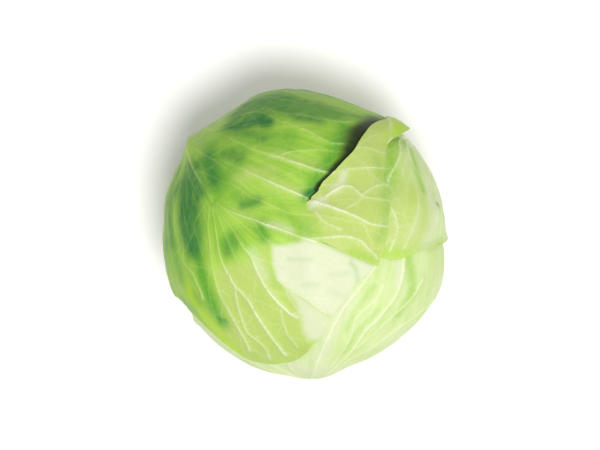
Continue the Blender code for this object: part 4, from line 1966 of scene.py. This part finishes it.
RIGHT_COURSES = (
    Course(((3, 20), (17.5, 9.7), (22.8, -0.8), (30, -5), (40, -8), (48.1, -14.2), (49.4, -18.4),
     (50.6, -22.5), (53.1, -26.2), (56.5, -28.5), (62, -31)), 0.6, 0.6),
    Course(((3, -5), (12, 2), (18.2, -9.7), (22.6, -23.2), (26.3, -34.4)), 0.6, 0.4),
    Course(((4, -60), (11.2, -75), (20.8, -63.2), (30.2, -54.1), (40, -52)), 0.6, 0.5),
    Course(((34, -30), (42.3, -33.7), (48, -34.3), (53.4, -35.4), (58, -36.5)), 0.5, 0.5),
)
RIGHT_MARKS = {
    MarkKind.FRESH: (
        Mark(((66, -28.5), (62.6, -31.5), (60.8, -36), (57.8, -41.5)), 2.6, 0.4),
        Mark(((57, -40), (50.7, -49.2), (45.3, -62)), 1.8, 0.3),
        Mark(((15, 8), (24.6, 7.5), (29.8, 0.9), (35.1, -5.4), (44, -9)), 4.2, 0.95),
        Mark(((13, -12), (15.4, -14.8), (23.7, -26.6), (30.8, -36.2)), 1.9, 0.9),
    ),
    MarkKind.LIME: (
        Mark(((66, -28.5), (62.6, -31.5), (60.8, -36), (57.8, -41.5)), 2.6, 0.4),
        Mark(((22, 0), (28.8, -16.5), (36, -27), (44, -30)), 7.0, 0.3),
    ),
    MarkKind.PALLID: (
        Mark(((36, -9), (30, -24), (33, -38), (44, -48), (54, -46), (62, -37), (65, -29), (57, -21),
         (47, -13)), 4.0, 0.75, area=True),
    ),
    MarkKind.WHITE_AND_HIGHLIGHT: (
        Mark(((19, -4), (21.5, -6), (26.2, -17), (31.8, -26.6)), 1.9, 0.4),
        Mark(((42.3, -33.7), (49.7, -35.5)), 2.4, 0.4),
        Mark(((29.3, -40.4), (33.9, -47.9), (39.6, -50.2), (51.4, -49.7)), 3.8, 0.6),
    ),
    MarkKind.DEEP_AND_SHADE: (
        Mark(((32.3, -54.2), (32.5, -53.6)), 1.2, 0.95),
    ),
}
RIGHT_LEAF = LeafPlan(
    "wrapper_leaf_2", "pale_leaf", (45.0, 163.3), (42.0, 84.0),
    ((-180, 79), (-152, 66), (-120, 50), (-92, 42), (-70, 43.5), (-50, 52), (-43, 57.5), (-38, 62),
     (-31, 66), (-18, 69), (5, 70), (30, 66), (60, 60), (90, 56), (120, 57), (150, 68)),
    0.0032, 3.3, seed=21,
    courses=RIGHT_COURSES,
    fan_headings=(-128, -100, 28, 50, 74, 100, 128),
    marks=RIGHT_MARKS,
)

OUTER_COURSES = (
    Course(((41, -150), (42.6, -130.8), (41.8, -121.4), (41.9, -113.2), (43, -106.5), (44.5, -102.1),
     (46.5, -96.6), (48.8, -91.7), (50.7, -87.7), (53.3, -84.2), (57.6, -82.4)), 0.4, 0.75),
    Course(((27, -138), (26.2, -129.6), (25.7, -114.5), (26.8, -102.6), (29.3, -92.7), (32, -86.4),
     (35, -80.9), (39.9, -75.1), (45.1, -70.4), (49.5, -67.8)), 0.35, 1.1),
    Course(((31.2, -88.2), (33.9, -88.6), (36.6, -87.8), (40.2, -86), (44.6, -84.1), (49, -82.2),
     (52.8, -79.9), (56.5, -78.2)), 0.5, 0.4),
    Course(((16.4, -132), (16.2, -120), (16.3, -108.2), (17.9, -92.3), (20.4, -80.3), (23.5, -71.7),
     (27, -65.3), (30.7, -60.5), (33.7, -57.6), (36.5, -55.5), (39, -53.7)),
        0.3, 1.1),
    Course(((8.5, -125), (8.5, -110), (10, -87.2), (13, -67.2), (15.6, -56.2), (20, -50.6),
     (24.2, -46.6), (27.9, -44.1)), 0.35, 0.5),
    Course(((27.9, -44.1), (31.7, -41.8), (37.3, -42), (42.1, -42.9)), 0.35, 0.3),
    Course(((2, -24), (6.4, -19.1), (11.2, -21.3), (16, -24), (21, -25.9), (25.3, -26.3),
     (29.4, -27.4), (33.7, -27.5), (38, -27.7), (42.2, -28.1), (46.8, -28.6)), 0.7, 1.1),
    Course(((40.2, -27.4), (45.8, -30.4), (51.4, -33.4), (54.9, -35.6), (58.8, -37), (62.2, -36.8),
     (66.1, -35), (69.6, -33.6), (72, -32.5)), 0.55, 0.75),
    Course(((42.1, -51.6), (47, -49.5), (50.6, -48.3), (54.7, -47.4), (57.7, -46.6), (61.1, -45.6),
     (64.6, -44.6), (68.8, -44.8), (72.2, -45.3)), 1.1, 0.45),
    Course(((43.4, -44.8), (46.4, -41), (49.9, -39.5), (54.6, -39)), 0.6, 0.35),
    Course(((46.6, -54.9), (50.1, -58.3), (53.3, -60.2), (56.1, -60.3), (58.4, -58.4),
     (60.5, -56.3)), 0.7, 0.7),
    Course(((60.5, -56.3), (62.9, -58.9), (65.4, -60.5), (68.4, -61.9), (71.1, -62.3)), 0.6,
        0.4),
    Course(((60.5, -55.9), (64.2, -55.7), (68.4, -55.7), (71.9, -55.5)), 0.6, 0.4),
    Course(((60.9, -55.9), (58.6, -52.8), (56.4, -50.6), (54.5, -49.3)), 0.5, 0.35),
    Course(((55.5, -68.4), (58.7, -68.6), (62.8, -68.9), (67.1, -69.1), (71, -69)), 0.6, 0.4),
    Course(((60.1, -77.7), (64.6, -77.5), (68.8, -76.6), (73, -75.6)), 0.4, 0.3),
    Course(((58, -150), (60, -135), (59.8, -121.4), (60.5, -110.7), (63.8, -104), (68.5, -100.1)),
     0.5, 0.5),
    Course(((44.6, -129.5), (45.3, -117), (49.5, -107.8), (54.7, -100.7), (61.2, -95.9),
     (67.3, -94.4)), 0.4, 0.5),
    Course(((41, -168), (34, -155), (33.9, -147.7), (36.6, -141.6), (41.9, -138.9)), 0.6, 0.3),
    Course(((3.1, 10.6), (9.7, 4.6), (16.6, 4.3), (22.6, 5.8), (28.4, 6), (31.6, 8.1), (36.1, 10.1),
     (40.9, 11.4), (44.8, 11.6), (49, 11.5), (52.8, 11.2), (56.4, 10.7), (58.6, 9.3)), 0.5, 1.05),
    Course(((52.7, 13), (55.9, 15.7), (59.7, 17.6), (63.5, 18.9), (66.6, 18.9), (69.5, 19.4)),
        0.45, 0.6),
    Course(((2.7, 26.8), (9.6, 18.9), (16.3, 19.2), (21.3, 19.4), (25.6, 19.2)), 0.5, 0.3),
    Course(((2.6, 46.4), (8.8, 34.9), (15.7, 35.1), (20.4, 35.2), (24.3, 34.2), (27.6, 32.4),
     (31.5, 30.7), (35.3, 29.6), (38.3, 27.4), (41.7, 26), (44.4, 25.6), (49, 25.7), (53.3, 25.7),
     (57.8, 25.9), (62.6, 26.1), (66.7, 26.3), (71.2, 26.9)), 0.55, 1.0),
    Course(((35.3, 29.6), (39.1, 31.8), (43.5, 33.6), (48.2, 34.4), (52.7, 35.2), (55.1, 35.7),
     (58.4, 34.2), (62.1, 32.6), (66.2, 32.6), (71, 34.8)), 0.6, 0.6),
    Course(((3, 74.1), (10, 54.3), (17.5, 48.4), (25, 45.5), (32, 44.1), (36.8, 43.1), (41.8, 41.4),
     (46.2, 40), (50.8, 39.2), (55.6, 38.9), (59.8, 39), (64.2, 40.1)), 0.5,
        0.65),
    Course(((3.3, 129.1), (8.4, 95.8), (12.9, 87.8), (17.2, 70.8), (22.2, 58.7)), 0.4, 0.25),
    Course(((21.8, 97.2), (25.5, 86.5), (29.2, 80.7), (29.8, 72.2), (31.1, 64.9), (34.1, 60.9),
     (36.9, 57.7), (39.7, 56.8)), 0.35, 0.9),
    Course(((42.1, 2.6), (46.3, 2.3), (50.4, 1.3), (54.6, -0.1), (58.3, -0.7), (62.6, -1),
     (66.1, -1.1)), 0.6, 0.5),
    Course(((86, -98), (82, -93.6), (79.3, -91), (77.5, -88.3), (76.4, -83.6), (75.9, -80.8)),
        0.42, 0.36),
    Course(((30, 165), (25.2, 174), (23.1, 159.7), (21.4, 142), (22.6, 121.4), (26.2, 105.2)),
        0.3, 0.45),
)
OUTER_MARKS = {
    # Dark blue-green blotches, and painted shade: the top strip and left flank that turn away from
    # the light, and the leaf beside the crack.
    MarkKind.DEEP_AND_SHADE: (
        Mark(((27, 176), (19.6, -169), (9, -168), (4.5, -175), (6, 125), (13.5, 64), (19.5, 62),
         (24.5, 67), (26, 76), (25, 88), (22.5, 102), (20, 124), (21.5, 148), (23.5, 163)),
            3.8, 0.85, area=True),
        Mark(((16, 165), (12.5, 140), (12.5, 117)), 3.8, 1.0),
        Mark(((31.5, 164), (29, 147), (32, 130), (35, 120), (37.5, 108)), 2.8, 0.55),
        Mark(((18.5, 92), (22.5, 76)), 2.2, 0.9),
        Mark(((21.5, 165), (27, 140), (28, 118), (31, 104)), 2.6, 0.55),
        Mark(((19, -160), (13.3, -155.3), (8.6, -147)), 4.2, 0.8),
        Mark(((34.5, -143), (37, -134.7), (37.8, -127.1), (38.6, -118)), 3.6, 1.0),
        Mark(((43, -155), (52, -150), (58, -134), (60, -120), (65, -108), (71, -98), (62, -96),
         (50, -104), (43, -120), (33, -140)), 4.5, 0.72, area=True),
        Mark(((30.6, -144), (31.4, -131.4), (32.1, -119), (32, -110.3)), 2.8, 0.5),
        Mark(((43, -146), (44.6, -130), (43.4, -119.7), (37.8, -115.2), (34, -126), (30.5, -138),
         (33, -154)), 3.0, 0.85, area=True),
        Mark(((51.2, -133), (55.3, -127.4), (57.1, -119.8)), 3.8, 0.65),
        Mark(((48.1, -133.3), (47, -121.8), (48.5, -107), (54, -100)), 3.0, 0.75),
        Mark(((67, -101.5), (70, -98.3), (75, -96.8), (80, -97.5)), 2.6, 0.6),
        Mark(((20, -137.3), (19.6, -122.3), (19.9, -113.4)), 2.8, 0.6),
        Mark(((13.2, -40), (16.6, -44.9), (19.4, -49)), 2.3, 0.62),
        Mark(((18.9, 24.4), (21.9, 26.4)), 2.4, 0.42),
        Mark(((16.8, 10.1), (20, 10.4)), 2.2, 0.35),
        Mark(((39.5, 65), (42.5, 62)), 2.2, 0.42),
        Mark(((48.4, 48.0), (49.2, 45.4)), 1.0, 0.45),
        Mark(((38.4, -54.5), (41.5, -58.5), (44.5, -61)), 1.3, 0.95, sheet=Sheet.WHOLE),
    ),
    MarkKind.FRESH: (
        Mark(((22, 147), (25.3, 123.5), (28.9, 104), (32.6, 91), (37.4, 80)), 3.6, 0.6),
        Mark(((20, 74), (24.2, 62), (29.5, 56.5), (35.7, 53), (41.4, 50.6), (46.5, 49.4), (50, 48)),
         3.4, 1.0),
        Mark(((24, -158), (14, -148), (7, -125)), 6.5, 0.75),
        Mark(((9, -125), (13, -118), (17, -112)), 4.5, 0.6),
        Mark(((24, -146), (29, -128), (32, -106), (37, -94)), 4.6, 0.45),
        Mark(((31, -112), (36, -104), (40, -98)), 3.5, 0.6),
        Mark(((22, -128), (24, -118)), 3.5, 0.7),
        Mark(((10, -60), (16, -50)), 3.6, 0.6),
        Mark(((18, 18), (20.5, 19)), 4.2, 0.75),
        Mark(((24, -21), (27.3, -15.5)), 2.8, 0.95),
        Mark(((62, -92), (56, -85), (52.7, -78), (47.5, -71), (43, -64), (39.4, -56)), 3.4,
            0.9, sheet=Sheet.WHOLE),
        Mark(((61, -30.2), (68, -31), (70.5, -32)), 1.9, 0.35, sheet=Sheet.FLAP),
        Mark(((70, -40), (71, -50), (70, -60), (68, -72)), 2.2, 0.3, sheet=Sheet.FLAP),
        Mark(((40.7, -12.1), (44.4, -15.4), (48.1, -18.7)), 1.2, 0.16),
        Mark(((58.8, -17.1), (64.6, -21)), 1.3, 0.12),
        Mark(((51.8, -5), (56, -9.4)), 1.2, 0.14),
        Mark(((61.2, -10.2), (67.7, -11.4)), 1.3, 0.1),
        Mark(((63.4, -26), (66.5, -24), (69.8, -20)), 1.2, 0.25),
        Mark(((30, -42), (36, -36), (42, -33)), 2.6, 0.35),
    ),
    MarkKind.PALLID: (
        Mark(((29, -12), (31, -4), (33.5, 2)), 2.6, 0.65),
        Mark(((27.2, 15.9), (33, 0.5), (41.8, 3.1), (46.5, 2.7), (54.9, 9.7), (62.2, 11.4),
         (68, 14.4), (76, 27.3), (76, 41.2), (66, 43), (55.9, 43.7), (45.2, 43.3), (35.6, 44),
         (27.8, 40.4)), 4.0, 0.85, area=True),
        Mark(((24, -72), (30, -62), (36, -57)), 3.6, 0.55),
        Mark(((14, -95), (19.5, -86), (26, -79)), 3.2, 0.6),
        Mark(((30, -92), (37, -80), (45, -72)), 3.0, 0.4),
        Mark(((10, -22), (24, -26), (38, -28)), 2.6, 0.35),
    ),
    MarkKind.LIME: (
        Mark(((40, 69), (45.5, 63), (50.5, 56.5), (57, 51.5), (64, 47.5)), 3.0, 0.7),
        Mark(((61, -30.2), (68, -31), (70.5, -32)), 1.9, 0.3, sheet=Sheet.FLAP),
        Mark(((87.2, -98.8), (82, -93.6), (79.3, -91), (77.5, -88.3), (76.6, -84.2), (77.5, -82.8),
         (81, -85), (85, -89), (88, -93), (91, -99)), 0.6,
            1.0, area=True, sheet=Sheet.FLAP),
        Mark(((84, -97), (79, -91.5), (75.5, -86.5), (74, -81.5)), 2.4, 0.35, sheet=Sheet.FLAP),
    ),
    # Pale tissue; the two large areas are pale tissue with a painted highlight on it.
    MarkKind.WHITE_AND_HIGHLIGHT: (
        Mark(((75.9, -81), (77.5, -83.5), (80.2, -86), (82.6, -88.7), (84.4, -91)), 0.5,
            0.8, sheet=Sheet.FLAP),
        Mark(((42.2, -49.8), (44.8, -51.3)), 2.2, 0.95, sheet=Sheet.FLAP),
        Mark(((53.6, -66), (52.6, -61.9), (49.7, -57.8)), 1.9, 0.75, sheet=Sheet.FLAP),
        Mark(((31.7, -12.9), (36.1, -2.9), (41.6, 2.7), (46.3, 2.3), (54.6, -0.1), (66.1, -1.1),
         (76.4, -0.6), (76, -15.3), (76, -21.9), (76, -28.6), (66, -28.6), (59.4, -28.6),
         (52.8, -28.6), (47.7, -28.5), (42.3, -27.8), (40.4, -23.9), (36.2, -18.8)), 1.7,
            1.0, area=True),
        Mark(((46.5, 2.7), (54.6, -0.1), (66.1, -1.1), (78, -1), (76, 7), (69, 13), (65.5, 12),
         (60, 8), (54, 4.5)), 2.0, 0.85, area=True),
        Mark(((26, -26.5), (31, -30), (36, -29.5)), 1.6, 0.4),
        Mark(((27, 2), (31.5, 4), (38, 7)), 2.2, 0.4),
    ),
    # Waxy bloom, and a painted sheen where the leaf turns over the head's rim.
    MarkKind.BLOOM_AND_SHEEN: (
        Mark(((44.1, -170), (40.1, -156.5), (47.6, -153.3), (56, -150), (60, -146)), 2.0, 0.4),
        Mark(((40, -175), (34, -168), (26, -172)), 2.4, 0.25),
        Mark(((40, 172), (34, 160), (32, 140), (34, 122), (39, 106)), 1.6, 0.2),
        Mark(((46, 77), (47.4, 72), (48.8, 67)), 1.8, 1.0),
    ),
}
OUTER_LEAF = LeafPlan(
    "wrapper_leaf_1", "green_leaf", (120.0, 163.5), (157.2, 41.1),
    ((-180, 123.5), (-163, 112), (-147, 92), (-135, 76), (-122, 71), (-112, 74.5), (-104, 82.2),
     (-97, 88), (-90, 84), (-82, 77), (-70, 71), (-55, 72), (-39, 73), (-29.6, 72.5), (-21, 70),
     (-12, 69.5), (-3, 69), (12, 72), (28, 75), (38, 73.5), (44, 71.5), (49.5, 64.5), (55, 58.7),
     (62, 53.2), (71, 49.6), (80, 49), (92, 55), (106, 64), (125, 78), (147, 100), (163, 115)),
    0.0042, 5.2, seed=11, flare=0.0012, rib_bend=15.5, rays=((0, -180.0), (48, -157.0), (144, -97.0),
    (220, -50.3), (252, -29.6), (584, 157.0), (640, 180.0)), rings=136, tear=Tear(), back_depth=0.6,
    courses=OUTER_COURSES,
    fan_headings=(),
    marks=OUTER_MARKS,
)

# The deep colours are dark green blotches and painted shade.
GREEN_LEAF = LeafFinish("green_wax_leaf", lamina=srgb(124, 175, 55), light=srgb(164, 200, 80),
                        fresh=srgb(88, 154, 46), deep_and_shade=srgb(44, 113, 56),
                        vein=srgb(180, 208, 116), margin=srgb(150, 190, 84), fan_fade=0.55)
PALE_LEAF = LeafFinish("pale_wax_leaf", lamina=srgb(180, 203, 128), light=srgb(199, 214, 163),
                       fresh=srgb(136, 182, 58), deep_and_shade=srgb(92, 132, 28),
                       vein=srgb(222, 228, 190), margin=srgb(172, 196, 80), fan_fade=0.0)


def place_piece(piece: bpy.types.Object, node: str,
                material: bpy.types.Material) -> None:
    """Dress a piece, set it in place of its solid, and report it.

    Args:
        piece: The piece.
        node: The solid that it stands for.
        material: The material.
    """
    piece.data.materials.append(material)
    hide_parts(node)
    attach(piece, "root")
    LOG.info("%s stands for %s: %d faces", piece.name, node, len(piece.data.polygons))


def main() -> None:
    """Build the stem, the heart and the leaves from the inside out, then the studio."""
    logging.basicConfig(level=logging.INFO, format="%(message)s")
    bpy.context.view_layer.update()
    place_piece(Stem().build(), "stem", StemFinish().make())
    place_piece(Heart().build(), "heart", HeartFinish().make())
    finishes = {"pale_leaf": PALE_LEAF.make(), "green_leaf": GREEN_LEAF.make()}
    plans = (*INNER_LEAVES, LOWER_LEAF, RIGHT_LEAF, OUTER_LEAF)
    for index, plan in enumerate(plans):
        leaf = WrapperLeaf(plan, plans[:index])
        place_piece(leaf.build(), plan.node, finishes[plan.slot])
    Studio().build()


if __name__ == "__main__":
    main()
